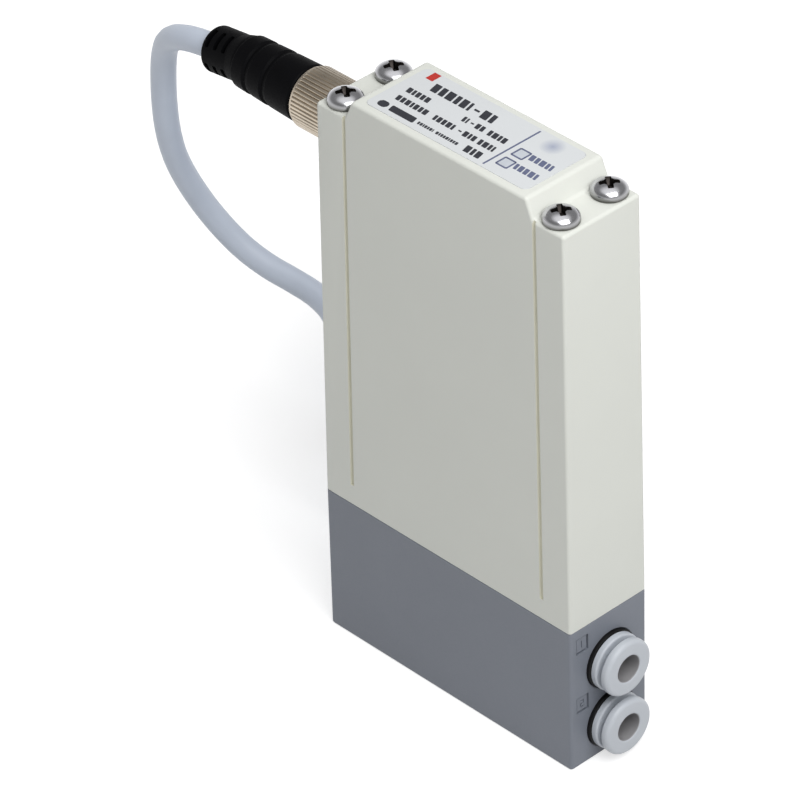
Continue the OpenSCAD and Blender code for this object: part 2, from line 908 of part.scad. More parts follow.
// One solder pin from a bobbin's terminal block to the board
module terminal(side, grow, extra) {
    translate([side * terminal_spread, terminal_block - terminal_sunk, bobbin_top - bobbin_plate / 2])
        rotate([-90, 0, 0])
            cylinder(
                r = terminal_radius + grow,
                h = board_y - valve_y - terminal_block + terminal_sunk + extra
            );
}

module coil_terminals() {
    color([0.8, 0.75, 0.5])
        for (valve = [-1, 1], side = [-1, 1])
            at_valve(valve)
                terminal(side, 0, 0);
}

module winding() {
    color([0.72, 0.4, 0.2])
        ring(
            winding_radius,
            bobbin_tube + fit_gap,
            bobbin_z + bobbin_plate + fit_gap,
            bobbin_top - bobbin_plate - fit_gap
        );
}

module fixed_core() {
    color([0.66, 0.67, 0.69]) {
        translate([0, 0, core_z])
            cylinder(r = core_radius, h = base_height + yoke_height - core_z);
        translate([0, 0, base_height + yoke_height])
            cylinder(r1 = core_head_radius, r2 = core_head_radius - core_head_edge, h = core_head);
    }
}

module plunger() {
    color([0.7, 0.71, 0.73])
        difference() {
            union() {
                translate([0, 0, plunger_z])
                    cylinder(r = plunger_radius, h = plunger_top - plunger_z);
                translate([0, 0, plunger_z])
                    cylinder(r = plunger_lip_radius, h = plunger_lip);
            }
            translate([0, 0, poppet_z])
                cylinder(r = poppet_radius + fit_gap, h = poppet_height);
        }
}

module poppet() {
    color([0.15, 0.15, 0.16])
        translate([0, 0, poppet_z])
            cylinder(r = poppet_radius, h = poppet_height);
}

module return_spring() {
    steps = spring_steps * spring_turns;
    route = [
        for (i = [0 : steps])
            let (turn = 360 * spring_turns * i / steps)
            [
                spring_radius * cos(turn),
                spring_radius * sin(turn),
                spring_z + (spring_top - spring_z) * i / steps
            ]
    ];
    color([0.75, 0.76, 0.78])
        swept_tube(route, spring_wire, spring_sides, [1, 0, 0]);
}

module supply_yoke() { at_valve(1) yoke(); }
module supply_bobbin() { at_valve(1) bobbin(); }
module supply_winding() { at_valve(1) winding(); }
module supply_core() { at_valve(1) fixed_core(); }
module supply_plunger() { at_valve(1) plunger(); }
module supply_poppet() { at_valve(1) poppet(); }
module supply_spring() { at_valve(1) return_spring(); }
module exhaust_yoke() { at_valve(-1) yoke(); }
module exhaust_bobbin() { at_valve(-1) bobbin(); }
module exhaust_winding() { at_valve(-1) winding(); }
module exhaust_core() { at_valve(-1) fixed_core(); }
module exhaust_plunger() { at_valve(-1) plunger(); }
module exhaust_poppet() { at_valve(-1) poppet(); }
module exhaust_spring() { at_valve(-1) return_spring(); }

// Push-in fittings

module port_ring() {
    color([0.07, 0.07, 0.08])
        ring(sleeve_radius + ring_width, sleeve_radius + fit_gap, -ring_depth, ring_proud);
}

// Sleeve whose rim rests on the collar
module sleeve() {
    rim_back = ring_proud + fit_gap;
    color([0.86, 0.88, 0.92])
        rotate_extrude()
            polygon([
                [sleeve_way, -sleeve_depth], [sleeve_radius, -sleeve_depth],
                [sleeve_radius, rim_back], [sleeve_rim, rim_back],
                [sleeve_rim, sleeve_show - sleeve_edge],
                [sleeve_rim - sleeve_edge, sleeve_show],
                [guide_bore, sleeve_show], [guide_bore, -guide_depth],
                [chuck_bore, -guide_depth], [chuck_bore, -seat_depth],
                [sleeve_way, -seat_depth]
            ]);
}

// Flange with a full rounded front rim, and a stem that reaches the chuck
module release_button() {
    rim = [
        for (a = [0 : 15 : 90])
            [
                flange_radius - flange_corner + flange_corner * cos(a),
                flange_front - flange_corner + flange_corner * sin(a)
            ]
    ];
    mouth = [
        for (a = [90 : -30 : 0])
            [
                tube_bore + mouth_flare - mouth_flare * cos(a),
                flange_front - mouth_flare + mouth_flare * sin(a)
            ]
    ];
    color([0.86, 0.88, 0.92])
        rotate_extrude()
            polygon(concat(
                [
                    [tube_bore, -stem_end], [stem_radius - stem_taper, -stem_end],
                    [stem_radius, -stem_end + stem_taper_length], [stem_radius, flange_back],
                    [flange_radius - flange_back_edge, flange_back],
                    [flange_radius, flange_back + flange_back_edge]
                ],
                rim,
                mouth
            ));
}

// Sprung steel ring whose slotted claws lean inward to hold the tube
module chuck() {
    outer = chuck_bore - chuck_clear;
    inner = outer - chuck_sheet;
    claw = tube_bore + claw_clear;
    back = chuck_front + chuck_length;
    color([0.78, 0.79, 0.8])
        difference() {
            rotate_extrude()
                polygon([
                    [outer, -chuck_front], [outer, -back], [inner, -back],
                    [inner, -chuck_front - claw_root], [claw, -chuck_front - claw_back],
                    [claw, -chuck_front - claw_front], [inner, -chuck_front]
                ]);
            for (k = [0 : claw_slots - 1])
                rotate(360 * k / claw_slots)
                    translate([0, -claw_slot_width / 2, -chuck_front - claw_back - claw_clear])
                        cube([inner, claw_slot_width, claw_back + claw_clear + cut_over]);
        }
}

module tube_seal() {
    outer = chuck_bore - chuck_clear;
    color([0.1, 0.1, 0.1])
        rotate_extrude()
            polygon([
                [outer, -seal_front], [outer, -seat_depth], [seal_inner + seal_lip, -seat_depth],
                [seal_inner, -(seal_front + seat_depth) / 2], [seal_inner + seal_lip, -seal_front]
            ]);
}

module supply_port_ring() { at_port(port_high_height) port_ring(); }
module supply_sleeve() { at_port(port_high_height) sleeve(); }
module supply_release_button() { at_port(port_high_height) release_button(); }
module supply_chuck() { at_port(port_high_height) chuck(); }
module supply_tube_seal() { at_port(port_high_height) tube_seal(); }
module output_port_ring() { at_port(port_low_height) port_ring(); }
module output_sleeve() { at_port(port_low_height) sleeve(); }
module output_release_button() { at_port(port_low_height) release_button(); }
module output_chuck() { at_port(port_low_height) chuck(); }
module output_tube_seal() { at_port(port_low_height) tube_seal(); }

// Receptacle in the cover

module connector_seal() {
    color([0.1, 0.1, 0.1])
        at_plug()
            ring(socket_flange, stub_radius + fit_gap, -socket_seat, socket_gasket - socket_seat);
}

module connector_shell() {
    flange_z = socket_gasket - socket_seat;
    color([0.72, 0.68, 0.6])
        at_plug()
            rotate_extrude()
                polygon([
                    [insert_stem + fit_gap, -stub_end], [stub_radius, -stub_end],
                    [stub_radius, flange_z], [socket_flange, flange_z],
                    [socket_flange, 0], [thread_radius, 0],
                    [thread_radius, thread_length - thread_lead_in],
                    [thread_radius - thread_lead_in, thread_length],
                    [tube_inner, thread_length], [tube_inner, tube_floor],
                    [insert_stem + fit_gap, tube_floor]
                ]);
}

module connector_insert() {
    color([0.12, 0.12, 0.13])
        at_plug()
            difference() {
                union() {
                    translate([0, 0, -stub_end])
                        cylinder(r = insert_stem, h = stub_end + tube_floor);
                    translate([0, 0, tube_floor])
                        cylinder(r = tube_inner - fit_gap, h = insert_disc);
                }
                at_pins()
                    translate([0, 0, -stub_end - cut_over])
                        cylinder(r = pin_hole, h = stub_end + tube_floor + insert_disc + 2 * cut_over);
            }
}

module connector_pins() {
    color([0.85, 0.7, 0.35])
        at_plug()
            at_pins() {
                translate([0, 0, -pin_back])
                    cylinder(r = pin_radius, h = pin_back + pin_front - pin_taper);
                translate([0, 0, pin_front - pin_taper])
                    cylinder(r1 = pin_radius, r2 = pin_radius - pin_taper, h = pin_taper);
            }
}

// Small upright board that joins the receptacle's pins to the control board
module connector_board() {
    color([0.1, 0.35, 0.2])
        difference() {
            translate([-plug_face + stub_end + link_board_gap, -link_board_reach, plug_z - link_board_reach])
                cube([link_board, link_board_reach + board_y, 2 * link_board_reach]);
            at_plug()
                at_pins()
                    translate([0, 0, -pin_back - cut_over])
                        cylinder(r = pin_hole, h = pin_back);
        }
}

// Plug on the lead

module plug_carrier() {
    color([0.14, 0.14, 0.15])
        at_plug()
            difference() {
                translate([0, 0, carrier_front])
                    cylinder(r = carrier_radius, h = carrier_back - carrier_front);
                at_pins()
                    translate([0, 0, carrier_front - cut_over])
                        cylinder(
                            r = contact_radius + pin_clear,
                            h = pin_front - carrier_front + contact_room + cut_over
                        );
            }
}

module plug_contacts() {
    color([0.85, 0.7, 0.35])
        at_plug()
            at_pins()
                ring(contact_radius, pin_hole, carrier_front + contact_sunk, pin_front + contact_over);
}

// Star outline of the knurl, one peak and one valley for each ridge
module knurl_outline() {
    polygon([
        for (k = [0 : 2 * nut_ridges - 1])
            let (r = nut_radius - (k % 2) * knurl_depth, a = 180 * k / nut_ridges)
            [r * cos(a), r * sin(a)]
    ]);
}

// Knurled band between two plain chamfered rims, bored for the thread and the neck
module coupling_nut() {
    knurl_front = nut_front + front_rim;
    knurl_back = nut_back - back_rim;
    color([0.66, 0.61, 0.54])
        at_plug()
            difference() {
                union() {
                    rotate_extrude()
                        polygon([
                            [0, nut_front], [rim_radius - front_chamfer, nut_front],
                            [rim_radius, nut_front + front_chamfer],
                            [rim_radius, nut_back - back_chamfer],
                            [rim_radius - back_chamfer, nut_back], [0, nut_back]
                        ]);
                    translate([0, 0, knurl_front])
                        linear_extrude(knurl_back - knurl_front)
                            knurl_outline();
                }
                translate([0, 0, nut_front - cut_over])
                    cylinder(r = nut_bore, h = nut_lip_front - nut_front + cut_over);
                translate([0, 0, nut_lip_front - cut_over])
                    cylinder(r = nut_lip, h = nut_length);
            }
}

// Tapered outline of the moulded body with its two shallow ring grooves
module plug_profile() {
    back_radius = plug_radius - plug_taper;
    polygon(concat(
        [[0, plug_front], [plug_radius - plug_edge, plug_front], [plug_radius, plug_front + plug_edge]],
        [
            for (g = plug_grooves, k = [0 : 3])
                let (
                    ends = [0, plug_groove_flank, 1 - plug_groove_flank, 1],
                    skin = plug_radius - plug_taper * g / plug_length
                )
                [
                    k == 0 || k == 3 ? skin : skin - plug_groove_depth,
                    plug_front + g + ends[k] * plug_groove_width
                ]
        ],
        [[back_radius, plug_back - plug_edge], [back_radius - plug_edge, plug_back], [0, plug_back]]
    ));
}

// Slotted, tapered strain relief that hangs a little under the cable's weight
module strain_relief() {
    shoulder = plug_radius - plug_taper - relief_shoulder;
    translate([0, 0, plug_back])
        rotate([0, -relief_droop, 0])
            difference() {
                rotate_extrude()
                    polygon([
                        [0, -relief_sunk], [shoulder, -relief_sunk],
                        [shoulder, relief_collar], [relief_radius, relief_cone],
                        [relief_radius, relief_run - relief_end_edge],
                        [relief_radius - relief_end_edge, relief_run], [0, relief_run]
                    ]);
                for (side = [0 : 3], s = relief_slots)
                    rotate(90 * side + relief_slot_turn)
                        translate([relief_radius - relief_slot_depth, -relief_radius, s])
                            difference() {
                                cube([relief_radius, 2 * relief_radius, relief_slot_width]);
                                translate([-cut_over, -cut_over, -cut_over])
                                    cube([3 * relief_radius, relief_rib + cut_over, 3 * cut_over]);
                                translate([-cut_over, 2 * relief_radius - relief_rib, -cut_over])
                                    cube([3 * relief_radius, relief_rib + cut_over, 3 * cut_over]);
                            }
            }
}

module plug_body() {
    color([0.1, 0.1, 0.11])
        at_plug()
            difference() {
                union() {
                    rotate_extrude()
                        plug_profile();
                    translate([0, 0, neck_front])
                        cylinder(r = neck_flange, h = nut_lip_front - neck_front - neck_flange_gap);
                    translate([0, 0, neck_front])
                        cylinder(r = neck_radius, h = plug_front - neck_front + fit_gap);
                    strain_relief();
                }
                translate([0, 0, neck_front - cut_over])
                    cylinder(
                        r = carrier_radius + pin_clear,
                        h = carrier_back - neck_front + cut_over + carrier_gap
                    );
            }
}

// Cable, hank and bare end

module cable() {
    color([0.75, 0.75, 0.82])
        swept_tube(cable_route, cable_radius, cable_sides, [0, 1, 0]);
}

module hank_frame() {
    translate(hank_place)
        rotate(hank_turn)
            children();
}

module run_outline(half) {
    square([hank_run, 2 * half], center = true);
    for (side = [-1, 1])
        translate([side * hank_run / 2, 0])
            circle(half);
}

module cable_hank() {
    color([0.75, 0.75, 0.82])
        hank_frame()
            translate([0, 0, tie_thick])
                linear_extrude(hank_height)
                    difference() {
                        run_outline(hank_outer);
                        run_outline(hank_inner);
                    }
}

// Strap around one run of the hank
module hank_tie() {
    run_wide = hank_outer - hank_inner + 2 * fit_gap;
    run_tall = hank_height + 2 * fit_gap;
    strap_tall = hank_height + 2 * tie_thick;
    middle = (hank_outer + hank_inner) / 2;
    color([0.12, 0.12, 0.13])
        hank_frame()
            translate([tie_width / 2, middle, tie_thick + hank_height / 2])
                rotate([0, -90, 0])
                    linear_extrude(tie_width)
                        difference() {
                            square([strap_tall, run_wide + 2 * tie_thick], center = true);
                            square([run_tall, run_wide], center = true);
                        }
}

module cable_end() {
    layer_z = tie_thick + cable_radius;
    mid_lane = (end_lane - fold_radius) / 2;
    route = [
        [end_start, -fold_radius, layer_z],
        [end_start / 2, -fold_radius + end_drift, layer_z],
        [0, mid_lane - end_sag, layer_z - end_sag],
        [end_stop - end_straight, end_lane, layer_z - end_drop],
        [end_stop, end_lane, layer_z - end_drop]
    ];
    color([0.75, 0.75, 0.82])
        hank_frame()
            swept_tube(route, cable_radius, cable_sides, [0, 0, 1]);
}

module cable_cores() {
    core_z_mid = tie_thick + cable_radius - end_drop;
    color([0.8, 0.55, 0.3])
        hank_frame()
            for (sy = [-1, 1], sz = [-1, 1])
                translate([end_stop, end_lane + sy * core_spread, core_z_mid + sz * core_spread])
                    rotate([0, 90, 0])
                        cylinder(r = core_radius_wire, h = core_length);
}

base_block();
cover();
base_gasket();
cover_screws();
label_plate();
light_guides();
circuit_board();
board_components();
indicator_leds();
pressure_sensor();
sensor_seal();
supply_yoke();
supply_bobbin();
supply_winding();
supply_core();
supply_plunger();
supply_poppet();
supply_spring();
exhaust_yoke();
exhaust_bobbin();
exhaust_winding();
exhaust_core();
exhaust_plunger();
exhaust_poppet();
exhaust_spring();
coil_terminals();
supply_port_ring();
supply_sleeve();
supply_release_button();
supply_chuck();
supply_tube_seal();
output_port_ring();
output_sleeve();
output_release_button();
output_chuck();
output_tube_seal();
connector_seal();
connector_shell();
connector_insert();
connector_pins();
connector_board();
plug_carrier();
plug_contacts();
coupling_nut();
plug_body();
cable();
cable_hank();
hank_tie();
cable_end();
cable_cores();
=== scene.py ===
import math

import bmesh
import bpy
from mathutils import Matrix, Vector


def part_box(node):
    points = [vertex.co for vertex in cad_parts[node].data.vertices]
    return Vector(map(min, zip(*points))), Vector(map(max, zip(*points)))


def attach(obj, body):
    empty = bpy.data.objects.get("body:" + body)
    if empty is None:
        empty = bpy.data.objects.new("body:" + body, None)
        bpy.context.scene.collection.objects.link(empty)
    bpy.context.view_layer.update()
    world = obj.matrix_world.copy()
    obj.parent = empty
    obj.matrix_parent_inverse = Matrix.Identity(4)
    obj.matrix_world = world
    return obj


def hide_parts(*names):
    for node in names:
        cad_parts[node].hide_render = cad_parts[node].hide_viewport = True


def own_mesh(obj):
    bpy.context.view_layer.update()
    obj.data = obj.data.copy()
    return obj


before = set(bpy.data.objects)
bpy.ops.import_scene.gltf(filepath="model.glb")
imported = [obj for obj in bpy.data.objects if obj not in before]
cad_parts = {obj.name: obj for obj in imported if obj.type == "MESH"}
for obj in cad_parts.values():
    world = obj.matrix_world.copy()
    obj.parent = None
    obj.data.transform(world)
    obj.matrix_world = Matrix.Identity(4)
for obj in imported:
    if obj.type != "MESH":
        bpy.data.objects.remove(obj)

# Looks of the slim electro-pneumatic regulator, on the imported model.
# Lengths are in millimetres unless a name says otherwise.

MM = 0.001
TO_METRES = Matrix.Scale(MM, 4)
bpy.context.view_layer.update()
scene = bpy.context.scene
scene.view_settings.view_transform = "Standard"

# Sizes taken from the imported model
base_low, base_high = (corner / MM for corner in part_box("base_block"))
cover_low, cover_high = (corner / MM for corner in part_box("cover"))
label_low, label_high = (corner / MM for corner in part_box("label_plate"))
HALF_LENGTH = base_high.x
HALF_WIDTH = base_high.y
BASE_TOP = base_high.z
COVER_TOP = cover_high.z
LABEL_TOP = label_high.z

# Camera, fitted to the body's edges in the photograph
IMAGE_SIDE = 800
FOCAL_PIXELS = 6193.627
SENSOR = 36
CAMERA_AZIMUTH = 47.0785
CAMERA_ELEVATION = 35.7746
CAMERA_ROLL = -1.7233
CAMERA_AIM = Vector((0, 0, 45))
CAMERA_DISTANCE = 860.7475
CAMERA_ASIDE = -11.356
CAMERA_RAISED = 2.4032


def make_camera():
    data = bpy.data.cameras.new("camera")
    data.sensor_width = SENSOR
    data.lens = FOCAL_PIXELS * SENSOR / IMAGE_SIDE
    camera = bpy.data.objects.new("camera", data)
    scene.collection.objects.link(camera)
    azimuth = math.radians(CAMERA_AZIMUTH)
    elevation = math.radians(CAMERA_ELEVATION)
    roll = math.radians(CAMERA_ROLL)
    flat = math.cos(elevation)
    back = Vector((math.sin(azimuth) * flat, -math.cos(azimuth) * flat, math.sin(elevation)))
    level = Vector((math.cos(azimuth), math.sin(azimuth), 0))
    right = level * math.cos(roll) + back.cross(level) * math.sin(roll)
    up = back.cross(right)
    place = CAMERA_AIM + back * CAMERA_DISTANCE + right * CAMERA_ASIDE + up * CAMERA_RAISED
    turned = Matrix((right, up, back)).transposed().to_4x4()
    camera.matrix_world = Matrix.Translation(place * MM) @ turned
    scene.camera = camera


make_camera()

# Materials


def screen(red, green, blue):
    """Screen colour from 0 to 255 as the linear values that a shader takes."""
    def one(value):
        share = value / 255
        return share / 12.92 if share <= 0.04045 else ((share + 0.055) / 1.055) ** 2.4
    return (one(red), one(green), one(blue), 1.0)


def scaled(colour, factor):
    return tuple(min(1.0, value * factor) for value in colour[:3]) + (1.0,)


# Colour sockets of a mix node
MIX_FIRST = 6
MIX_SECOND = 7
MIX_RESULT = 2

# Depths of the relief on the surfaces, in metres
FINE_RELIEF = 0.00001
GRAIN_RELIEF = 0.00002
TRACK_RELIEF = 0.00004
WIRE_RELIEF = 0.00008
WEAVE_RELIEF = 0.00015

# Changes of roughness over a surface
PLASTIC_SPREAD = 0.05
METAL_BELOW = 0.06
METAL_ABOVE = 0.08
LEAST_ROUGHNESS = 0.03
RESIN_SPREAD = 0.1


def add_node(tree, kind, **settings):
    node = tree.nodes.new(kind)
    for key, value in settings.items():
        setattr(node, key, value)
    return node


def put(node, **values):
    """Sets a node's inputs by name, with _ in place of a space."""
    for name, value in values.items():
        node.inputs[name.replace("_", " ")].default_value = value


class Graph:
    """Short calls for making and linking a material's nodes."""

    def __init__(self, name):
        self.material = bpy.data.materials.new(name)
        self.material.use_nodes = True
        self.tree = self.material.node_tree
        self.shader = self.tree.nodes["Principled BSDF"]
        self.coords = self.add("ShaderNodeTexCoord").outputs["Object"]

    def add(self, kind, **settings):
        return add_node(self.tree, kind, **settings)

    def link(self, output, target):
        self.tree.links.new(output, target)

    def set(self, **values):
        put(self.shader, **values)

    def stretched(self, scale, turn=(0, 0, 0)):
        node = self.add("ShaderNodeMapping")
        put(node, Scale=scale, Rotation=turn)
        self.link(self.coords, node.inputs["Vector"])
        return node.outputs["Vector"]

    def noise(self, scale, detail=3.0, coords=None):
        node = self.add("ShaderNodeTexNoise")
        put(node, Scale=scale, Detail=detail)
        self.link(coords or self.coords, node.inputs["Vector"])
        return node.outputs["Fac"]

    def bands(self, scale, direction, coords=None):
        node = self.add("ShaderNodeTexWave", bands_direction=direction)
        put(node, Scale=scale, Distortion=0.0)
        self.link(coords or self.coords, node.inputs["Vector"])
        return node.outputs["Fac"]

    def between(self, value, low=0.0, high=1.0, from_low=0.3, from_high=0.7):
        node = self.add("ShaderNodeMapRange")
        put(node, From_Min=from_low, From_Max=from_high, To_Min=low, To_Max=high)
        self.link(value, node.inputs["Value"])
        return node.outputs["Result"]

    def blend(self, value, first, second):
        node = self.add("ShaderNodeMix", data_type="RGBA")
        node.inputs[MIX_FIRST].default_value = first
        node.inputs[MIX_SECOND].default_value = second
        self.link(value, node.inputs["Factor"])
        return node.outputs[MIX_RESULT]

    def clouded(self, colour, shade, scale, detail):
        """The colour, a little darker and lighter in clouds."""
        tone = self.between(self.noise(scale, detail))
        return self.blend(tone, scaled(colour, 1 - shade), scaled(colour, 1 + shade))

    def done(self, colour, gloss, height, strength, depth):
        """Links colour, roughness and relief to the shader and gives the material."""
        self.link(colour, self.shader.inputs["Base Color"])
        if gloss:
            self.link(gloss, self.shader.inputs["Roughness"])
        bump = self.add("ShaderNodeBump")
        put(bump, Strength=strength, Distance=depth)
        self.link(height, bump.inputs["Height"])
        self.link(bump.outputs["Normal"], self.shader.inputs["Normal"])
        return self.material


def moulded(name, colour, roughness, shade=0.03, cloud=90, grain=5200, bump=0.12, **more):
    """Moulded plastic or rubber: faint clouding, a fine spark-eroded grain and uneven gloss."""
    graph = Graph(name)
    graph.set(Metallic=0.0, **more)
    mixed = graph.clouded(colour, shade, scale=cloud, detail=4.0)
    grain_value = graph.noise(grain, detail=2.0)
    gloss = graph.between(grain_value, roughness - PLASTIC_SPREAD, roughness + PLASTIC_SPREAD)
    return graph.done(mixed, gloss, grain_value, bump, GRAIN_RELIEF)


def metal(name, colour, roughness, stretch=(1, 1, 1), fine=2600, shade=0.08, bump=0.1):
    """Plated or drawn metal: fine lines along the stretch and small changes of tone."""
    graph = Graph(name)
    graph.set(Metallic=1.0)
    lines = graph.noise(fine, coords=graph.stretched(stretch))
    mixed = graph.clouded(colour, shade, scale=350, detail=3.0)
    gloss = graph.between(lines, max(LEAST_ROUGHNESS, roughness - METAL_BELOW), roughness + METAL_ABOVE)
    return graph.done(mixed, gloss, lines, bump, FINE_RELIEF)


def shaded_screw_head(rim, crown):
    """Bright plated screw head with painted shade: its colour darkens from the crown down towards the seat.
    """
    graph = Graph("screw_nickel")
    graph.set(Metallic=1.0)
    split = graph.add("ShaderNodeSeparateXYZ")
    graph.link(graph.coords, split.inputs[0])
    # Painted shade: between these heights the head's colour goes from the dark rim colour to the bright crown
    # colour
    shaded_height, lit_height = ((EAR_Z + rise) * MM for rise in SCREW_SHADE_RISE)
    mixed = graph.blend(graph.between(split.outputs["Z"], from_low=shaded_height, from_high=lit_height), rim, crown)
    polish = graph.noise(scale=7000, detail=2.0)
    gloss = graph.between(polish, low=0.16, high=0.26)
    return graph.done(mixed, gloss, polish, strength=0.02, depth=FINE_RELIEF)


def wound_copper():
    """Coil winding: one band for each wire turn, under clear lacquer."""
    graph = Graph("copper_wire")
    graph.set(Metallic=0.85, Coat_Weight=0.5, Coat_Roughness=0.15)
    turns = graph.bands(scale=1500, direction="Z")
    mixed = graph.blend(turns, screen(110, 52, 26), screen(206, 122, 72))
    gloss = graph.between(turns, low=0.45, high=0.28, from_low=0.0, from_high=1.0)
    return graph.done(mixed, gloss, turns, strength=0.6, depth=WIRE_RELIEF)


def circuit_green():
    """Solder mask over tracks: fine square runs that stand up a little."""
    graph = Graph("board_green")
    graph.set(Metallic=0.0, Coat_Weight=0.3)
    tracks = graph.add("ShaderNodeTexBrick", offset=0.37)
    put(tracks, Scale=260, Mortar_Size=0.035, Mortar=screen(52, 140, 84))
    put(tracks, Color1=screen(18, 88, 52), Color2=screen(22, 98, 58))
    graph.link(graph.stretched((1, 1, 1), (math.radians(90), 0, 0)), tracks.inputs["Vector"])
    gloss = graph.between(graph.noise(scale=3000, detail=2.0), low=0.3, high=0.45)
    colour, height = tracks.outputs["Color"], tracks.outputs["Fac"]
    return graph.done(colour, gloss, height, strength=0.3, depth=TRACK_RELIEF)


def woven_strap():
    """Black woven strap: crossing ribs along and across the band."""
    graph = Graph("tie_black")
    graph.set(Metallic=0.0, Sheen_Weight=0.3)
    coords = graph.stretched((1, 1, 1), (0, 0, math.radians(-HANK_TURN)))
    ribs = graph.add("ShaderNodeMath", operation="MULTIPLY")
    graph.link(graph.bands(520, "X", coords), ribs.inputs[0])
    graph.link(graph.bands(420, "Z", coords), ribs.inputs[1])
    weave = ribs.outputs[0]
    mixed = graph.blend(weave, screen(16, 16, 18), screen(52, 52, 56))
    gloss = graph.between(weave, low=0.75, high=0.9, from_low=0.0, from_high=1.0)
    return graph.done(mixed, gloss, weave, strength=0.7, depth=WEAVE_RELIEF)


def faded_patch(inner, outer):
    """Faded print that runs out softly into the film around it."""
    graph = Graph("print_faded")
    graph.set(Metallic=0.0, Roughness=0.45)
    away = graph.add("ShaderNodeVectorMath", operation="DISTANCE")
    graph.link(graph.coords, away.inputs[0])
    away.inputs[1].default_value = Vector((*PATCH_PLACE, LABEL_TOP)) * MM
    share = graph.between(away.outputs["Value"], from_low=0.0, from_high=PATCH_HALF * MM)
    mixed = graph.blend(share, inner, outer)
    height = graph.noise(scale=7000, detail=2.0)
    return graph.done(mixed, None, height, strength=0.03, depth=GRAIN_RELIEF)


def clear_resin(name, colour, roughness, transmission):
    """Clear or tinted resin with a faint haze."""
    graph = Graph(name)
    graph.set(Metallic=0.0, Transmission_Weight=transmission, IOR=1.49)
    haze = graph.noise(scale=1200, detail=2.0)
    mixed = graph.blend(graph.between(haze), scaled(colour, 0.96), scaled(colour, 1.03))
    gloss = graph.between(haze, roughness, roughness + RESIN_SPREAD)
    return graph.done(mixed, gloss, haze, strength=0.05, depth=GRAIN_RELIEF)


# Cable and hank
CABLE_DIAMETER = 3.8
CABLE_EXIT = Vector((-52.418, 0, 82.7))
CABLE_SUNK = Vector((0.298, 0, 0.037))
CABLE_ROUTE = [
    (-56.5, 0, 82.1), (-60.4, 0.6, 80.6), (-63.8, 1.6, 78.3), (-66.5, 2.9, 75.3), (-68.3, 3.9, 71.7),
    (-69.4, 4.6, 67.8), (-70.1, 5.1, 63.6), (-70.7, 5.8, 59.5), (-71.3, 6.8, 55.5), (-71.8, 8.1, 51.6),
    (-72, 9.7, 47.7), (-71.7, 11.5, 43.8), (-70.8, 13.1, 40.1), (-68.9, 14.7, 36.7), (-66.2, 16, 33.8),
    (-62.8, 17.4, 31.7), (-58.9, 18.6, 30.5), (-54.8, 19.1, 29.8), (-50.7, 18.5, 29.1), (-46.9, 16.9, 28.2),
    (-43.6, 14.7, 27), (-39.9, 12.9, 26.1), (-35.9, 11.9, 25.6),
]
HANK_RUN = 27
HANK_TURN = 137
HANK_FOLD = Vector((-31.7, 31.2, 0))
HANK_FLOOR = 2.5
HANK_LEVEL = 3.85
HANK_RADII = (19.4, 15.4, 11.4)
HANK_TOP_LEVEL = 6
HANK_SIDES = 4
# Where each column starts to wind, and its way: up 1, down -1
HANK_CLIMBS = ((5, -1), (31, 1), (57, -1))
HANK_BEGIN = 3 + 43 / 180
HANK_STEPS_IN = (28, 54)
HANK_END = 80
HANK_STEP = 0.25
SAME_STEP = 0.01
HANK_NUDGE = 0.002
TAIL_ROUTE = [(-6.75, -11.0, 2.5), (0, -9.5, 2.3), (4, -7.2, 2.0), (7, -7.2, 2.0)]
CABLE_SIDES = 5
CABLE_SMOOTH = 5

hank_along = Vector((math.cos(math.radians(HANK_TURN)), math.sin(math.radians(HANK_TURN)), 0))
hank_across = Vector((-hank_along.y, hank_along.x, 0))
hank_middle = HANK_FOLD + hank_along * HANK_RUN / 2


def in_hank(along, across, height):
    """A place in the hank's own directions, in the model's frame."""
    return hank_middle + hank_along * along + hank_across * across + Vector((0, 0, height))


def eased(value):
    share = min(1.0, max(0.0, value))
    return share * share * (3 - 2 * share)


def hank_radius(turn):
    """Columns go from the outside in, with one step over a side of the track."""
    first = eased(turn - HANK_STEPS_IN[0])
    second = eased(turn - HANK_STEPS_IN[1])
    outer, middle, inner = HANK_RADII
    return outer + (middle - outer) * first + (inner - middle) * second


def hank_level(turn):
    """The outer column winds down, the middle one up and the inner one down."""
    level = HANK_TOP_LEVEL
    for start, way in HANK_CLIMBS:
        for step in range(HANK_TOP_LEVEL):
            level += way * min(1.0, max(0.0, turn - start - HANK_SIDES * step))
    return level


def hank_point(turn):
    """Point of the winding: sides 0 and 2 are straight runs, sides 1 and 3 are folds."""
    half = HANK_RUN / 2
    radius = hank_radius(turn)
    side = int(turn) % HANK_SIDES
    share = turn - int(turn)
    if side == 0:
        flat = (-half + HANK_RUN * share, -radius)
    elif side == 2:
        flat = (half - HANK_RUN * share, radius)
    else:
        angle = math.pi * (share - 0.5 if side == 1 else share + 0.5)
        centre = half if side == 1 else -half
        flat = (centre + radius * math.cos(angle), radius * math.sin(angle))
    return in_hank(*flat, HANK_FLOOR + HANK_LEVEL * hank_level(turn))


def hank_way(turn):
    """Direction of the winding at a turn."""
    return (hank_point(turn + HANK_NUDGE) - hank_point(turn - HANK_NUDGE)).normalized()


def averaged(points):
    """Each inner point drawn halfway to the middle of its neighbours."""
    inner = [(points[i - 1] + points[i] * 2 + points[i + 1]) / 4 for i in range(1, len(points) - 1)]
    return [points[0]] + inner + [points[-1]]


def steadied(points):
    """Takes the unevenness of rounded points out of a route and keeps its curves."""
    once = averaged(points)
    return [first * 2 - second for first, second in zip(once, averaged(once))]


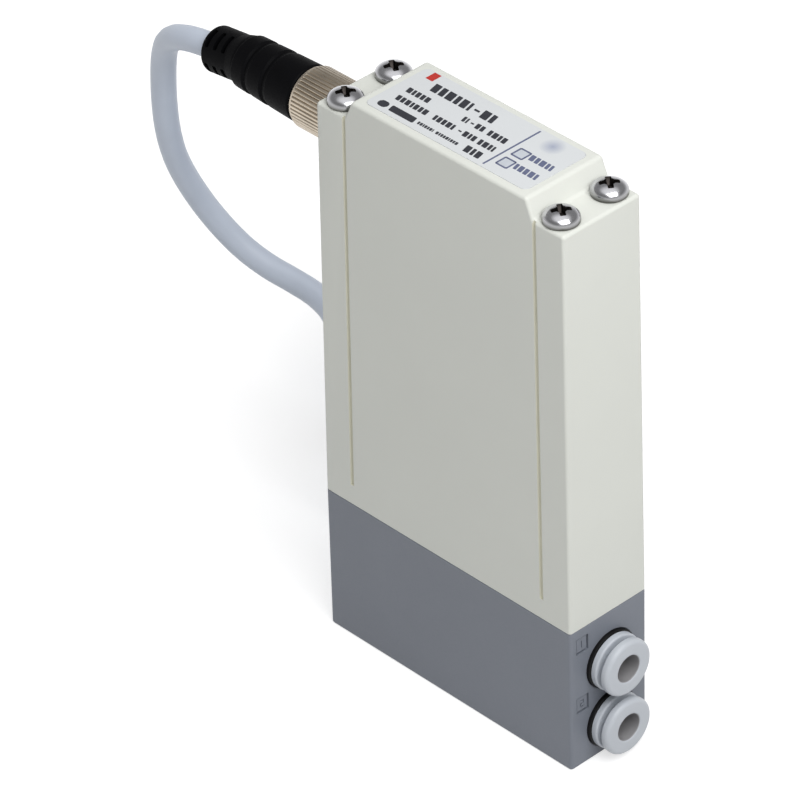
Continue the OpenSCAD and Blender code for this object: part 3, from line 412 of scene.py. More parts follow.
def make_cable(material):
    """One open curve: out of the plug, down behind the body, round the hank and out to its end."""
    free = [CABLE_EXIT] + [Vector(point) for point in CABLE_ROUTE] + [hank_point(HANK_BEGIN)]
    route = [CABLE_EXIT + CABLE_SUNK] + steadied(free)[:-1]
    turns = [HANK_BEGIN]
    while turns[-1] < HANK_END - HANK_STEP / 2:
        steps = math.floor(turns[-1] / HANK_STEP + SAME_STEP) + 1
        turns.append(min(HANK_END, steps * HANK_STEP))
    points = route + [hank_point(turn) for turn in turns] + [in_hank(*place) for place in TAIL_ROUTE]
    wound = {len(route) + k: hank_way(turn) for k, turn in enumerate(turns)}
    data = bpy.data.curves.new("cable_lead", "CURVE")
    data.dimensions = "3D"
    data.bevel_depth = CABLE_DIAMETER / 2 * MM
    data.bevel_resolution = CABLE_SIDES
    data.use_fill_caps = True
    spline = data.splines.new("BEZIER")
    spline.bezier_points.add(len(points) - 1)
    spline.resolution_u = CABLE_SMOOTH
    last = len(points) - 1
    for i, point in enumerate(points):
        back = point - points[max(i - 1, 0)]
        ahead = points[min(i + 1, last)] - point
        way = (back + ahead).normalized()
        if i in wound:
            way = wound[i]
        elif 0 < i < last:
            way = (back.normalized() * ahead.length + ahead.normalized() * back.length).normalized()
        knot = spline.bezier_points[i]
        knot.handle_left_type = "FREE"
        knot.handle_right_type = "FREE"
        knot.co = point * MM
        knot.handle_left = (point - way * back.length / 3) * MM
        knot.handle_right = (point + way * ahead.length / 3) * MM
    data.materials.append(material)
    cable = bpy.data.objects.new("cable_lead", data)
    scene.collection.objects.link(cable)
    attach(cable, "housing")
    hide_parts("cable", "cable_hank", "cable_end")
    return cable


cable_grey = moulded("cable_grey", screen(209, 218, 233), 0.42, shade=0.03, cloud=160, grain=3800, bump=0.1)
cable_lead = make_cable(cable_grey)

# Shapes
NEAR = 0.02
NO_RADIUS = 1e-6
# Length by which a cutter stands past the face that it cuts
CUT_PAST = 1


def rounded(corners, steps=5):
    """Closed outline from corners (x, y, radius), with an arc at each corner that has a radius."""
    points = []
    count = len(corners)
    for i, (x, y, radius) in enumerate(corners):
        here = Vector((x, y))
        if radius <= 0:
            points.append((x, y))
            continue
        before = (Vector(corners[i - 1][:2]) - here).normalized()
        after = (Vector(corners[(i + 1) % count][:2]) - here).normalized()
        half = before.angle(after) / 2
        middle = here + (before + after).normalized() * radius / math.sin(half)
        first = here + before * radius / math.tan(half) - middle
        last = here + after * radius / math.tan(half) - middle
        for step in range(steps + 1):
            share = step / steps
            spoke = (first * (1 - share) + last * share).normalized() * radius
            points.append(tuple(middle + spoke))
    return points


def rectangle(x0, y0, x1, y1):
    return [(x0, y0), (x1, y0), (x1, y1), (x0, y1)]


def softened(outline, corner, steps=5):
    """An outline with the same rounding at every corner."""
    return rounded([(x, y, corner) for x, y in outline], steps)


def plate_outline(length, width, corner, steps=5):
    return softened(rectangle(-length / 2, -width / 2, length / 2, width / 2), corner, steps)


def at(place):
    return TO_METRES @ Matrix.Translation(place)


def spun(degrees, axis="Z"):
    return Matrix.Rotation(math.radians(degrees), 4, axis)


def around(radius, share, height):
    """Point at a share of the full circle about Z."""
    angle = 2 * math.pi * share
    return Vector((radius * math.cos(angle), radius * math.sin(angle), height))


def skin(bm, rows, joined=False, index=0):
    """Faces through rows of vertices; the last row joins the first, or flat faces close both ends."""
    faces = []
    for first, second in zip(rows, rows[1:] + rows[:1] if joined else rows[1:]):
        count = max(len(first), len(second))
        for k in range(count if count > 1 else 0):
            following = (k + 1) % count
            near = first if len(first) == 1 else [first[k], first[following]]
            far = second if len(second) == 1 else [second[following], second[k]]
            faces.append(near + far)
    if not joined:
        faces += [rows[0], rows[-1]]
    for corners in faces:
        bm.faces.new(corners).material_index = index


def lathe(bm, outline, place, segments=96, index=0):
    """Revolves a closed outline of (radius, height) about the Z of place."""
    rows = []
    for radius, height in outline:
        count = 1 if radius < NO_RADIUS else segments
        rows.append([bm.verts.new(place @ around(radius, k / segments, height)) for k in range(count)])
    skin(bm, rows, joined=True, index=index)


def turned(outline, place, segments=96):
    """New bmesh that holds one revolved solid."""
    bm = bmesh.new()
    lathe(bm, outline, place, segments)
    return bm


def level_row(bm, outline, height, place=TO_METRES):
    """Row of vertices along an outline of (x, y) at one height."""
    return [bm.verts.new(place @ Vector((x, y, height))) for x, y in outline]


def prism(bm, outline, low, high, place=TO_METRES):
    """Extrudes an outline of (x, y) along Z."""
    skin(bm, [level_row(bm, outline, height, place) for height in (low, high)])


def block(bm, low, high):
    prism(bm, rectangle(*low[:2], *high[:2]), low[2], high[2])


def rod(bm, start, end, radius, segments=24):
    """Plain round bar between two points, for cutting passages."""
    way = Vector(end) - Vector(start)
    turn = way.to_track_quat("Z", "Y").to_matrix().to_4x4()
    lathe(bm, [(0, 0), (radius, 0), (radius, way.length), (0, way.length)], at(start) @ turn, segments)


def mesh_object(name, bm, materials):
    bmesh.ops.recalc_face_normals(bm, faces=bm.faces)
    mesh = bpy.data.meshes.new(name)
    bm.to_mesh(mesh)
    bm.free()
    for material in materials:
        mesh.materials.append(material)
    obj = bpy.data.objects.new(name, mesh)
    scene.collection.objects.link(obj)
    return obj


def carve(bm, cutter, materials):
    """The solid bm with the cutter's solids taken away, as a new bmesh."""
    body = mesh_object("carve_body", bm, materials)
    tool = mesh_object("carve_tool", cutter, materials)
    modifier = body.modifiers.new("cut", "BOOLEAN")
    modifier.operation = "DIFFERENCE"
    modifier.solver = "EXACT"
    modifier.use_self = True
    modifier.object = tool
    bpy.context.view_layer.update()
    cut = bpy.data.meshes.new_from_object(body.evaluated_get(bpy.context.evaluated_depsgraph_get()))
    result = bmesh.new()
    result.from_mesh(cut)
    bpy.data.meshes.remove(cut)
    for obj in (body, tool):
        mesh = obj.data
        bpy.data.objects.remove(obj)
        bpy.data.meshes.remove(mesh)
    return result


def take_in(whole, part):
    """Adds one bmesh to another and frees it."""
    carried = bpy.data.meshes.new("carried")
    part.to_mesh(carried)
    part.free()
    whole.from_mesh(carried)
    bpy.data.meshes.remove(carried)


def add_piece(name, bm, materials, body, replaced=(), sharp=32):
    """Turns a bmesh into a smooth-shaded piece that rides on a body and stands for CAD nodes."""
    obj = mesh_object(name, bm, materials)
    obj.data.shade_smooth()
    obj.data.set_sharp_from_angle(angle=math.radians(sharp))
    weighted = obj.modifiers.new("weighted", "WEIGHTED_NORMAL")
    weighted.keep_sharp = True
    weighted.weight = 80
    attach(obj, body)
    if replaced:
        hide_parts(*replaced)
    return obj


def round_edges(bm, chosen, radius, segments=4):
    edges = [edge for edge in bm.edges if chosen(*(vert.co / MM for vert in edge.verts))]
    bmesh.ops.bevel(
        bm, geom=edges, offset=radius * MM, segments=segments, profile=0.5, affect="EDGES", clamp_overlap=True
    )


def same(first, second):
    return abs(first - second) < NEAR


def flat_at(z):
    """Test for edges that lie flat at a height."""
    return lambda a, b: same(a.z, z) and same(b.z, z)


def upright_form(outline, half_width):
    """Block from an outline of (x, z), with the half width at each height given by a function."""
    bm = bmesh.new()
    rows = []
    for side in (-1, 1):
        rows.append([bm.verts.new(Vector((x, side * half_width(z), z)) * MM) for x, z in outline])
    skin(bm, rows)
    bmesh.ops.recalc_face_normals(bm, faces=bm.faces)
    return bm


# Base block; a cut is an outline of (radius, height from the face that it starts at)
EDGE_ROUND = 0.5
HEEL_ROUND = 1.0
HEEL_STEPS = 8
FOOT_ROUND = 0.25
PARTING_ROUND = 0.14
SCREW_X = 20.7
SCREW_Y = 4.55
SCREW_PLACES = [(x, y) for x in (-SCREW_X, SCREW_X) for y in (-SCREW_Y, SCREW_Y)]
SCREW_HOLE = 1.53
SCREW_FLOOR = 19.7
PORT_HEIGHTS = {"supply": 15.8, "output": 5.4}
PORT_Y = 0.35
PORT_CUT = [(0, -12), (4.03, -12), (4.03, -1.1), (4.63, -1.1), (4.63, -0.1), (4.75, 0.02), (4.75, 1), (0, 1)]
VALVE_X = 8.4
VALVE_Y = -1.2
ORIFICE = 0.6
CHAMBER_FLOOR = 19.5
CHAMBER_RADIUS = 2.6
SEAT_RADIUS = 1.2
SEAT_TOP = 20.3
LINK_Z = 21.5
EXHAUST_Z = 12.0
EXHAUST_DEEP = 9
EXHAUST_CUT = [(0, -10), (1.5, -10), (1.5, -0.15), (1.7, 0.05), (1.7, 1), (0, 1)]
PLENUM_X = 12.5
MARK_MIDDLE = -5.15
MARK_RISE = 5.35
MARK_HALF = (1.2, 1.35)
MARK_DEPTH = 0.35
MARK_FIELD = 0.08
MARK_BROAD = 0.36
MARK_FINE = 0.14
MARK_PAST = 0.3
DIGIT_HALF = (0.38, 0.62)
DIGIT_LINE = 0.2
DIGIT_DEPTH = 0.22
DIGIT_SHIFT = 0.1
MOUNT_X = (-17, 5)
MOUNT_CUT = [(0, -1), (1.5, -1), (1.5, 0), (1.25, 0.25), (1.25, 6), (0, 6.7)]
SENSOR_BORE = 1.23
SENSOR_WELL = 2.075
CHANNEL_FLOOR = 23.2
CHANNEL_INNER = (17.54, 6.32)
CHANNEL_OUTER = (18.2, 6.98)
CAVITY = (17.32, 6.1, 88.5)

AXIS_OUT = spun(90, "Y")
AXIS_BACK = spun(-90, "Y")


def at_port(name):
    return at((HALF_LENGTH, PORT_Y, PORT_HEIGHTS[name])) @ AXIS_OUT


def mark_cut(bm, place, digit):
    """Square port mark: a sunk field between four lines, with its number in plain strokes."""
    half_y, half_z = MARK_HALF
    wide, tall = DIGIT_HALF
    line = DIGIT_LINE
    bars = [
        (-half_z, half_z, -half_y, half_y, MARK_FIELD),
        (-half_z, half_z, half_y - MARK_BROAD, half_y, MARK_DEPTH),
        (-half_z, MARK_BROAD - half_z, -half_y, half_y, MARK_DEPTH),
        (-half_z, half_z, -half_y, MARK_FINE - half_y, MARK_DEPTH),
        (half_z - MARK_FINE, half_z, -half_y, half_y, MARK_DEPTH),
    ]
    strokes = [(-tall, tall, -line / 2, line / 2)]
    if digit == 2:
        strokes = [
            (tall - line, tall, -wide, wide), (0, tall, wide - line, wide),
            (-line / 2, line / 2, -wide, wide), (-tall, 0, -wide, line - wide),
            (-tall, line - tall, -wide, wide),
        ]
    for low_z, high_z, low_y, high_y in strokes:
        moved_z = (low_z + DIGIT_SHIFT, high_z + DIGIT_SHIFT)
        moved_y = (low_y - DIGIT_SHIFT, high_y - DIGIT_SHIFT)
        bars.append((*moved_z, *moved_y, DIGIT_DEPTH))
    for low_z, high_z, low_y, high_y, depth in bars:
        prism(bm, rectangle(-high_z, low_y, -low_z, high_y), -depth, MARK_PAST, place)


def channel_cut(bm, high):
    """Square channel for the gasket, between two rectangles."""
    rows = []
    floor = CHANNEL_FLOOR
    section = ((CHANNEL_INNER, floor), (CHANNEL_OUTER, floor), (CHANNEL_OUTER, high), (CHANNEL_INNER, high))
    for (x, y), height in section:
        rows.append(level_row(bm, rectangle(-x, -y, x, y), height))
    skin(bm, rows, joined=True)


def heel_cut(bm):
    """Takes the lower edge at the plug end off to a quarter round."""
    outside = -HALF_LENGTH - CUT_PAST
    outline = [(outside, -CUT_PAST), (-HALF_LENGTH + HEEL_ROUND, -CUT_PAST)]
    for step in range(HEEL_STEPS + 1):
        angle = math.radians(90 * step / HEEL_STEPS)
        x = -HALF_LENGTH + HEEL_ROUND * (1 - math.sin(angle))
        outline.append((x, HEEL_ROUND * (1 - math.cos(angle))))
    outline.append((outside, HEEL_ROUND))
    prism(bm, outline, -HALF_WIDTH - CUT_PAST, HALF_WIDTH + CUT_PAST, TO_METRES @ spun(90, "X"))


def base_cuts():
    bm = bmesh.new()
    above = BASE_TOP + CUT_PAST
    over_seat = SEAT_TOP + CUT_PAST
    in_plenum = PLENUM_X + CUT_PAST
    beside_seat = VALVE_Y - SEAT_RADIUS - ORIFICE
    riser_x = VALVE_X + ORIFICE
    supply_z, output_z = PORT_HEIGHTS.values()
    for digit, (name, height) in enumerate(PORT_HEIGHTS.items(), 1):
        lathe(bm, PORT_CUT, at_port(name))
        mark_cut(bm, at((HALF_LENGTH, MARK_MIDDLE, height + MARK_RISE)) @ AXIS_OUT, digit)
    for x in (-VALVE_X, VALVE_X):
        lathe(bm, [
            (SEAT_RADIUS, CHAMBER_FLOOR), (CHAMBER_RADIUS, CHAMBER_FLOOR), (CHAMBER_RADIUS, above),
            (0, above), (0, SEAT_TOP), (SEAT_RADIUS, SEAT_TOP),
        ], at((x, VALVE_Y, 0)), segments=64)
    passages = [
        ((VALVE_X, VALVE_Y, supply_z), (VALVE_X, VALVE_Y, over_seat)),
        ((VALVE_X - ORIFICE, VALVE_Y, supply_z), (in_plenum, VALVE_Y, supply_z)),
        ((VALVE_X, beside_seat, output_z), (in_plenum, beside_seat, output_z)),
        ((riser_x, beside_seat, output_z), (riser_x, beside_seat, BASE_TOP - CUT_PAST)),
        ((-VALVE_X, VALVE_Y, LINK_Z), (VALVE_X, VALVE_Y, LINK_Z)),
        ((-VALVE_X, VALVE_Y, EXHAUST_Z), (-VALVE_X, VALVE_Y, over_seat)),
        ((-VALVE_X + ORIFICE, VALVE_Y, EXHAUST_Z), (-HALF_LENGTH + EXHAUST_DEEP, VALVE_Y, EXHAUST_Z)),
    ]
    for start, end in passages:
        rod(bm, start, end, ORIFICE)
    lathe(bm, EXHAUST_CUT, at((-HALF_LENGTH, VALVE_Y, EXHAUST_Z)) @ AXIS_BACK, segments=64)
    for x in MOUNT_X:
        lathe(bm, MOUNT_CUT, at((x, 0, 0)), segments=48)
    for x, y in SCREW_PLACES:
        rod(bm, (x, y, SCREW_FLOOR), (x, y, above), SCREW_HOLE, segments=48)
    lathe(bm, [
        (0, LINK_Z), (SENSOR_BORE, LINK_Z), (SENSOR_BORE, CHANNEL_FLOOR), (SENSOR_WELL, CHANNEL_FLOOR),
        (SENSOR_WELL, above), (0, above),
    ], at((0, VALVE_Y, 0)), segments=48)
    channel_cut(bm, above)
    heel_cut(bm)
    return bm


def make_base(material):
    bm = upright_form(rectangle(-HALF_LENGTH, 0, HALF_LENGTH, BASE_TOP), lambda z: HALF_WIDTH)
    round_edges(bm, lambda a, b: same(a.x, b.x) and same(a.y, b.y), EDGE_ROUND)
    round_edges(bm, flat_at(0), FOOT_ROUND, segments=3)
    round_edges(bm, flat_at(BASE_TOP), PARTING_ROUND, segments=3)
    carved = carve(bm, base_cuts(), [material])
    add_piece("base_body", carved, [material], "housing", ["base_block"])


# Cover
EAR_Z = 90.0
DRAFT_END = 0.7
DRAFT_SIDE = 0.2
DRAFT_RISE = EAR_Z - BASE_TOP
PLATEAU_HALF = 16.8
SLOPE_FOOT = 18.1
PLUG_Z = 83.6
PLUG_FACE = HALF_LENGTH - DRAFT_END * (PLUG_Z - BASE_TOP) / DRAFT_RISE
PLUG_CUT = [(0, -8), (2.43, -8), (2.43, -1.1), (4.28, -1.1), (4.28, -0.15), (4.48, 0.05), (4.48, 1), (0, 1)]
GROOVE_X = 19.0
GROOVE_FROM = 27.4
GROOVE_SECTION = [
    (-0.36, -0.6), (-0.34, 0), (-0.25, 0.09), (-0.2, 0.3), (0.2, 0.3), (0.25, 0.09), (0.34, 0), (0.36, -0.6),
]
SCREW_CLEAR = 1.58
LABEL_CORNER = 1.0
LABEL_PLAY = 0.03
INDICATORS = [(8.9, -0.2), (8.9, -3.1)]
WINDOW_HALF = 0.83


def cover_half(z):
    return HALF_WIDTH - DRAFT_SIDE * (z - BASE_TOP) / DRAFT_RISE


def at_plug():
    return at((-PLUG_FACE, 0, PLUG_Z)) @ AXIS_BACK


def groove_cut(bm, end, side):
    """Fine upright groove beside a screw column, leaning with the draft."""
    rows = []
    for z in (GROOVE_FROM, COVER_TOP + CUT_PAST):
        x = end * (GROOVE_X - DRAFT_END * (z - BASE_TOP) / DRAFT_RISE)
        face = cover_half(z)
        spots = [Vector((x + across, side * (face - depth), z)) for across, depth in GROOVE_SECTION]
        rows.append([bm.verts.new(spot * MM) for spot in spots])
    # Index 1 gives the groove faces the cover's darker second material, painted shade in the grooves
    skin(bm, rows, index=1)


def window_cuts(bm, low, high):
    for x, y in INDICATORS:
        block(bm, (x - WINDOW_HALF, y - WINDOW_HALF, low), (x + WINDOW_HALF, y + WINDOW_HALF, high))


def cover_cuts():
    bm = bmesh.new()
    below = BASE_TOP - CUT_PAST
    above = COVER_TOP + CUT_PAST
    block(bm, (-CAVITY[0], -CAVITY[1], below), CAVITY)
    for x, y in SCREW_PLACES:
        rod(bm, (x, y, below), (x, y, above), SCREW_CLEAR, segments=48)
    lathe(bm, PLUG_CUT, at_plug())
    size = label_high - label_low
    recess = plate_outline(size.x + 2 * LABEL_PLAY, size.y + 2 * LABEL_PLAY, LABEL_CORNER + LABEL_PLAY)
    prism(bm, recess, label_low.z, above)
    window_cuts(bm, CAVITY[2] - CUT_PAST, above)
    for end in (-1, 1):
        for side in (-1, 1):
            groove_cut(bm, end, side)
    return bm


def make_cover(material, groove):
    ear_x = HALF_LENGTH - DRAFT_END
    outline = [
        (-HALF_LENGTH, BASE_TOP), (HALF_LENGTH, BASE_TOP), (ear_x, EAR_Z), (SLOPE_FOOT, EAR_Z),
        (PLATEAU_HALF, COVER_TOP), (-PLATEAU_HALF, COVER_TOP), (-SLOPE_FOOT, EAR_Z), (-ear_x, EAR_Z),
    ]
    bm = upright_form(outline, cover_half)
    round_edges(bm, lambda a, b: max(a.z, b.z) > BASE_TOP + NEAR, EDGE_ROUND)
    round_edges(bm, flat_at(BASE_TOP), PARTING_ROUND, segments=3)
    carved = carve(bm, cover_cuts(), [material, groove])
    add_piece("cover_shell", carved, [material, groove], "housing", ["cover"])


# Screws
SHANK_END = 20.0
SHANK_TIP = 0.9
SHANK_RADIUS = 1.5
SHANK_BEVEL = 0.7
SHANK_CORNER = 0.2
HEAD_FOOT = (2.52, 0.02)
HEAD_RADIUS = 2.65
HEAD_RIM = 0.15
HEAD_HEIGHT = 1.9
HEAD_SIDE = 0.57
CROWN_POWER = 0.9
CROWN_STEP = 6
# Heights above the ear over which the screw head's painted shade gives way to its bright colour
SCREW_SHADE_RISE = (0.15, 1.35)
CROSS_ROWS = ((0.7, 0.8, 0.28), (1.3, 1.25, 0.36), (2.3, 1.7, 0.5))
CROSS_CORNER = 0.16
CROSS_MIDDLE = [(0, 0.5), (0.55, 0.75), (0.95, 2.3), (0, 2.3)]
SCREW_TURNS = (57, 62, 57, 54)


def screw_outline():
    """Shank and round head; the crown falls away ever more steeply towards the rim."""
    end = SHANK_END - EAR_Z
    foot_radius, foot = HEAD_FOOT
    points = rounded([
        (0, end, 0), (SHANK_TIP, end, 0), (SHANK_RADIUS, end + SHANK_BEVEL, SHANK_CORNER),
        (SHANK_RADIUS, foot, 0), (foot_radius, foot, 0), (HEAD_RADIUS, HEAD_RIM, 0),
    ])
    for degrees in range(0, 90, CROWN_STEP):
        angle = math.radians(degrees)
        height = HEAD_SIDE + (HEAD_HEIGHT - HEAD_SIDE) * math.sin(angle)
        points.append((HEAD_RADIUS * math.cos(angle) ** CROWN_POWER, height))
    return points + [(0, HEAD_HEIGHT)]


def cross_cut(place):
    """Tapered cross recess: four wings that narrow towards the bottom, and a conical middle."""
    bm = bmesh.new()
    for quarter in (0, 90):
        rows = []
        for height, half_long, half_wide in CROSS_ROWS:
            corners = plate_outline(2 * half_long, 2 * half_wide, CROSS_CORNER, steps=3)
            rows.append(level_row(bm, corners, height, place @ spun(quarter)))
        # Index 1 gives the recess faces the dark second material, painted shade
        skin(bm, rows, index=1)
    lathe(bm, CROSS_MIDDLE, place, segments=32, index=1)
    return bm


def make_screws(material, recess):
    whole = bmesh.new()
    for (x, y), turn in zip(SCREW_PLACES, SCREW_TURNS):
        place = at((x, y, EAR_Z)) @ spun(turn)
        screw = turned(screw_outline(), place, segments=72)
        take_in(whole, carve(screw, cross_cut(place), [material, recess]))
    add_piece("cap_screws", whole, [material, recess], "housing", ["cover_screws"])


# Label and its print
LABEL_EDGE = 0.04
PRINT_RISE = 0.012
PRINT_LOW = LABEL_TOP - 0.01
PRINT_HIGH = LABEL_TOP + PRINT_RISE
PRINT_CORNER = 0.12
SLANT = -0.25
WORD_BLOCKS = (0.62, 0.5, 0.7, 0.42, 0.6, 0.54, 0.66, 0.38)
WORD_GAP = 0.16
WORD_LEAST = 0.25
# Words as left end, right end, middle line, height and first block
WORDS = [
    (-11.4, -4.0, 3.1, 1.9, 0), (-1.9, 0.6, 3.1, 1.9, 2), (-13.5, -9.0, 0.3, 1.2, 2),
    (-2.9, -1.9, 0.45, 1.2, 3), (-0.4, 1.4, 0.45, 1.2, 4), (2.0, 5.4, 0.45, 1.25, 1),
    (-13.2, -7.3, -2.0, 1.2, 4), (-6.0, -1.7, -2.0, 1.2, 3), (-0.3, 2.0, -2.0, 1.2, 6),
    (2.6, 5.6, -2.0, 1.25, 1), (-6.6, -3.6, -4.45, 0.65, 5), (-3.1, 1.2, -4.45, 0.65, 2),
    (2.4, 5.9, -4.35, 1.5, 6),
]
# Bars as left end, right end, middle line, height and corner
BARS = [
    (-3.4, -2.4, 3.1, 0.4, 0.1), (-1.4, -0.8, 0.45, 0.3, 0.08), (-1.3, -0.7, -2.0, 0.3, 0.08),
    (-14.2, -12.4, -4.45, 1.4, 0.6), (-11.9, -7.2, -4.45, 1.3, 0.2),
]
RED_FIELD = (-13.8, 3.95, -12.5, 5.8)
DIVIDER = (6.7, -5.4, 7.0, 5.5)
FRAME_OUT = 0.14
FRAME_WIDE = 0.28
FRAME_CORNER = 0.05
WINDOW_WORDS = (1.4, 5.6, 0.3, 1.3)
WINDOW_BLOCKS = (0, 3)
PATCH_PLACE = (10.7, 3.95)
PATCH_HALF = 1.95
PATCH_FLAT = 0.01


def make_label(material):
    size = label_high - label_low
    middle = (label_high + label_low) / 2
    bm = bmesh.new()
    outline = plate_outline(size.x, size.y, LABEL_CORNER)
    prism(bm, outline, label_low.z, LABEL_TOP, at((middle.x, middle.y, 0)))
    bmesh.ops.recalc_face_normals(bm, faces=bm.faces)
    round_edges(bm, flat_at(LABEL_TOP), LABEL_EDGE, segments=2)
    cutter = bmesh.new()
    window_cuts(cutter, label_low.z - CUT_PAST, LABEL_TOP + CUT_PAST)
    carved = carve(bm, cutter, [material])
    add_piece("label_film", carved, [material], "housing", ["label_plate"])


def print_bar(bm, x0, x1, y, height, corner):
    """One printed bar with soft corners, leaning a little as the print does."""
    half = height / 2
    lean = SLANT * half
    outline = [(x0 - lean, y - half), (x1 - lean, y - half), (x1 + lean, y + half), (x0 + lean, y + half)]
    prism(bm, softened(outline, corner, steps=3), PRINT_LOW, PRINT_HIGH)


def print_words(bm, x0, x1, y, height, start):
    """A run of plain blocks in place of words."""
    x = x0
    k = start
    while x < x1 - WORD_LEAST * height:
        wide = min(WORD_BLOCKS[k % len(WORD_BLOCKS)] * height, x1 - x)
        print_bar(bm, x, x + wide, y, height, min(PRINT_CORNER, wide / 3))
        x += wide + WORD_GAP * height
        k += 1


def window_frame(bm, x, y):
    """Square outline around an indicator window."""
    half = WINDOW_HALF + FRAME_OUT
    for sign in (-1, 1):
        print_bar(bm, x - half, x + half, y + sign * half, FRAME_WIDE, FRAME_CORNER)
        middle = x + sign * half
        side = rectangle(middle - FRAME_WIDE / 2, y - half, middle + FRAME_WIDE / 2, y + half)
        prism(bm, side, PRINT_LOW, PRINT_HIGH)


def make_print(dark, red, navy, faded):
    """Words and bars in one piece, then the red field, the navy print and the faded patch."""
    words, field, lines, patch = (bmesh.new() for piece in range(4))
    for word in WORDS:
        print_words(words, *word)
    for bar in BARS:
        print_bar(words, *bar)
    prism(field, rectangle(*RED_FIELD), PRINT_LOW, PRINT_HIGH)
    prism(lines, rectangle(*DIVIDER), PRINT_LOW, PRINT_HIGH)
    left, right, rise, height = WINDOW_WORDS
    for (x, y), start in zip(INDICATORS, WINDOW_BLOCKS):
        window_frame(lines, x, y)
        print_words(lines, x + left, x + right, y + rise, height, start)
    outline = plate_outline(2 * PATCH_HALF, 2 * PATCH_HALF, PATCH_HALF - PATCH_FLAT, steps=8)
    prism(patch, outline, PRINT_LOW, LABEL_TOP + PRINT_RISE / 2, at((*PATCH_PLACE, 0)))
    add_piece("label_print", words, [dark], "housing")
    add_piece("label_red_field", field, [red], "housing")
    add_piece("label_navy_print", lines, [navy], "housing")
    add_piece("label_faded_field", patch, [faded], "housing")


# Push-in fittings; profiles of (radius, distance out of the base, corner)
COLLAR = [(4.03, -1.1, 0), (4.6, -1.1, 0), (4.6, 0.55, 0.2), (4.03, 0.55, 0.05)]
SLEEVE = [
    (1.3, -11.5, 0), (4.0, -11.5, 0.2), (4.0, 0.6, 0), (4.42, 0.6, 0.08), (4.42, 1.6, 0.3),
    (3.0, 1.6, 0.12), (3.0, -4.0, 0), (3.5, -4.0, 0), (3.5, -10.0, 0), (1.3, -10.0, 0),
]
BUTTON = [
    (2.1, -3.6, 0), (2.68, -3.6, 0), (2.88, -3.2, 0.2), (2.88, 2.35, 0), (4.42, 2.35, 0.3),
    (4.42, 3.7, 0.6), (2.1, 3.7, 0.3),
]
BORE_EDGE = 2.14


def make_fittings(white, black, shaded_bore):
    for name, height in PORT_HEIGHTS.items():
        place = at_port(name)
        collar = turned(rounded(COLLAR, steps=4), place)
        add_piece(f"{name}_collar", collar, [black], "housing", [f"{name}_port_ring"])
        sleeve = turned(rounded(SLEEVE, steps=6), place)
        add_piece(f"{name}_tube_sleeve", sleeve, [white], "housing", [f"{name}_sleeve"])
        ring = turned(rounded(BUTTON, steps=7), place)
        # Faces inside the bore take the darker second material: painted shade on the bore wall
        for face in ring.faces:
            spot = face.calc_center_median() / MM
            if math.hypot(spot.y - PORT_Y, spot.z - height) < BORE_EDGE:
                face.material_index = 1
        node = f"{name}_release_button"
        add_piece(f"{name}_push_ring", ring, [white, shaded_bore], f"{name}_button", [node])


# Plug; the nut's profile gives radius, distance out of the cover and 1 where it is knurled
NUT_RIDGES = 48
NUT_SAMPLES = 8
KNURL_DEPTH = 0.2
KNURL_CORE = 4.45
KNURL_RISE = 0.25
LINE_SHARE = 0.2
NUT_OUTLINE = [
    (4.05, 0.5, 0), (4.12, 0.37, 0), (4.25, 0.37, 0), (4.42, 0.55, 0), (4.45, 0.7, 0), (4.45, 1.12, 0),
    (4.55, 1.17, 1), (4.66, 1.27, 1), (4.7, 1.42, 1), (4.7, 4.75, 1), (4.7, 8.08, 1), (4.66, 8.23, 1),
    (4.55, 8.33, 1), (4.45, 8.38, 0), (4.45, 8.5, 0), (4.38, 8.74, 0), (4.22, 8.9, 0), (4.02, 8.95, 0),
    (3.42, 8.95, 0), (3.3, 8.85, 0), (3.3, 7.95, 0), (4.05, 7.95, 0),
]
NUT_SHARP = 50
PLUG_FRONT = 9.05
PLUG_BACK = 21.25
PLUG_RADIUS = 4.4
PLUG_ROUND = 0.35
PLUG_TAPER = 0.4
PLUG_END_ROUND = 0.3
PLUG_NECK = 3.2
# The plug's nose, inside the nut, and the pocket in it
PLUG_NOSE = [(0, 7.4, 0), (3.0, 7.4, 0), (3.85, 7.4, 0.1), (3.85, 7.9, 0.1), (PLUG_NECK, 7.9, 0)]
NOSE_CUT = [(0, 6.4), (3.02, 6.4), (3.02, 7.9), (0, 7.9)]
PLUG_GROOVES = (5.2, 8.9)
GROOVE_WIDE = 0.9
GROOVE_DEEP = 0.33
GROOVE_LEAD = 0.3
GROOVE_BOTTOM = 0.62
GROOVE_LIP = 0.02
GROOVE_ROUNDS = (0.3, 0.1, 0.12)
RELIEF_RUN = 7.355
RELIEF_DROOP = 7.03
RELIEF_SHOULDER = 3.75
RELIEF_RADIUS = 3.45
RELIEF_TIP = 0.8
RELIEF_PROFILE = [
    (0, -0.4, 0), (RELIEF_SHOULDER, -0.4, 0), (RELIEF_SHOULDER, 0.1, 0.2), (RELIEF_RADIUS, 1.7, 0.8),
    (RELIEF_RADIUS, RELIEF_RUN - RELIEF_TIP, 0.4), (RELIEF_RADIUS - RELIEF_TIP, RELIEF_RUN, 0.4),
    (0, RELIEF_RUN, 0),
]
RELIEF_SLOTS = (2.0, 3.7, 5.4)
SLOT_HALF = 1.45
SLOT_WIDE = 0.75
SLOT_CORNER = 0.25
SLOT_DEEP = 0.9
SLOT_OUT = 4.5
SLOT_TURN = -33
TO_SIDE = Matrix(((0, 0, 1, 0), (1, 0, 0, 0), (0, 1, 0, 0), (0, 0, 0, 1)))


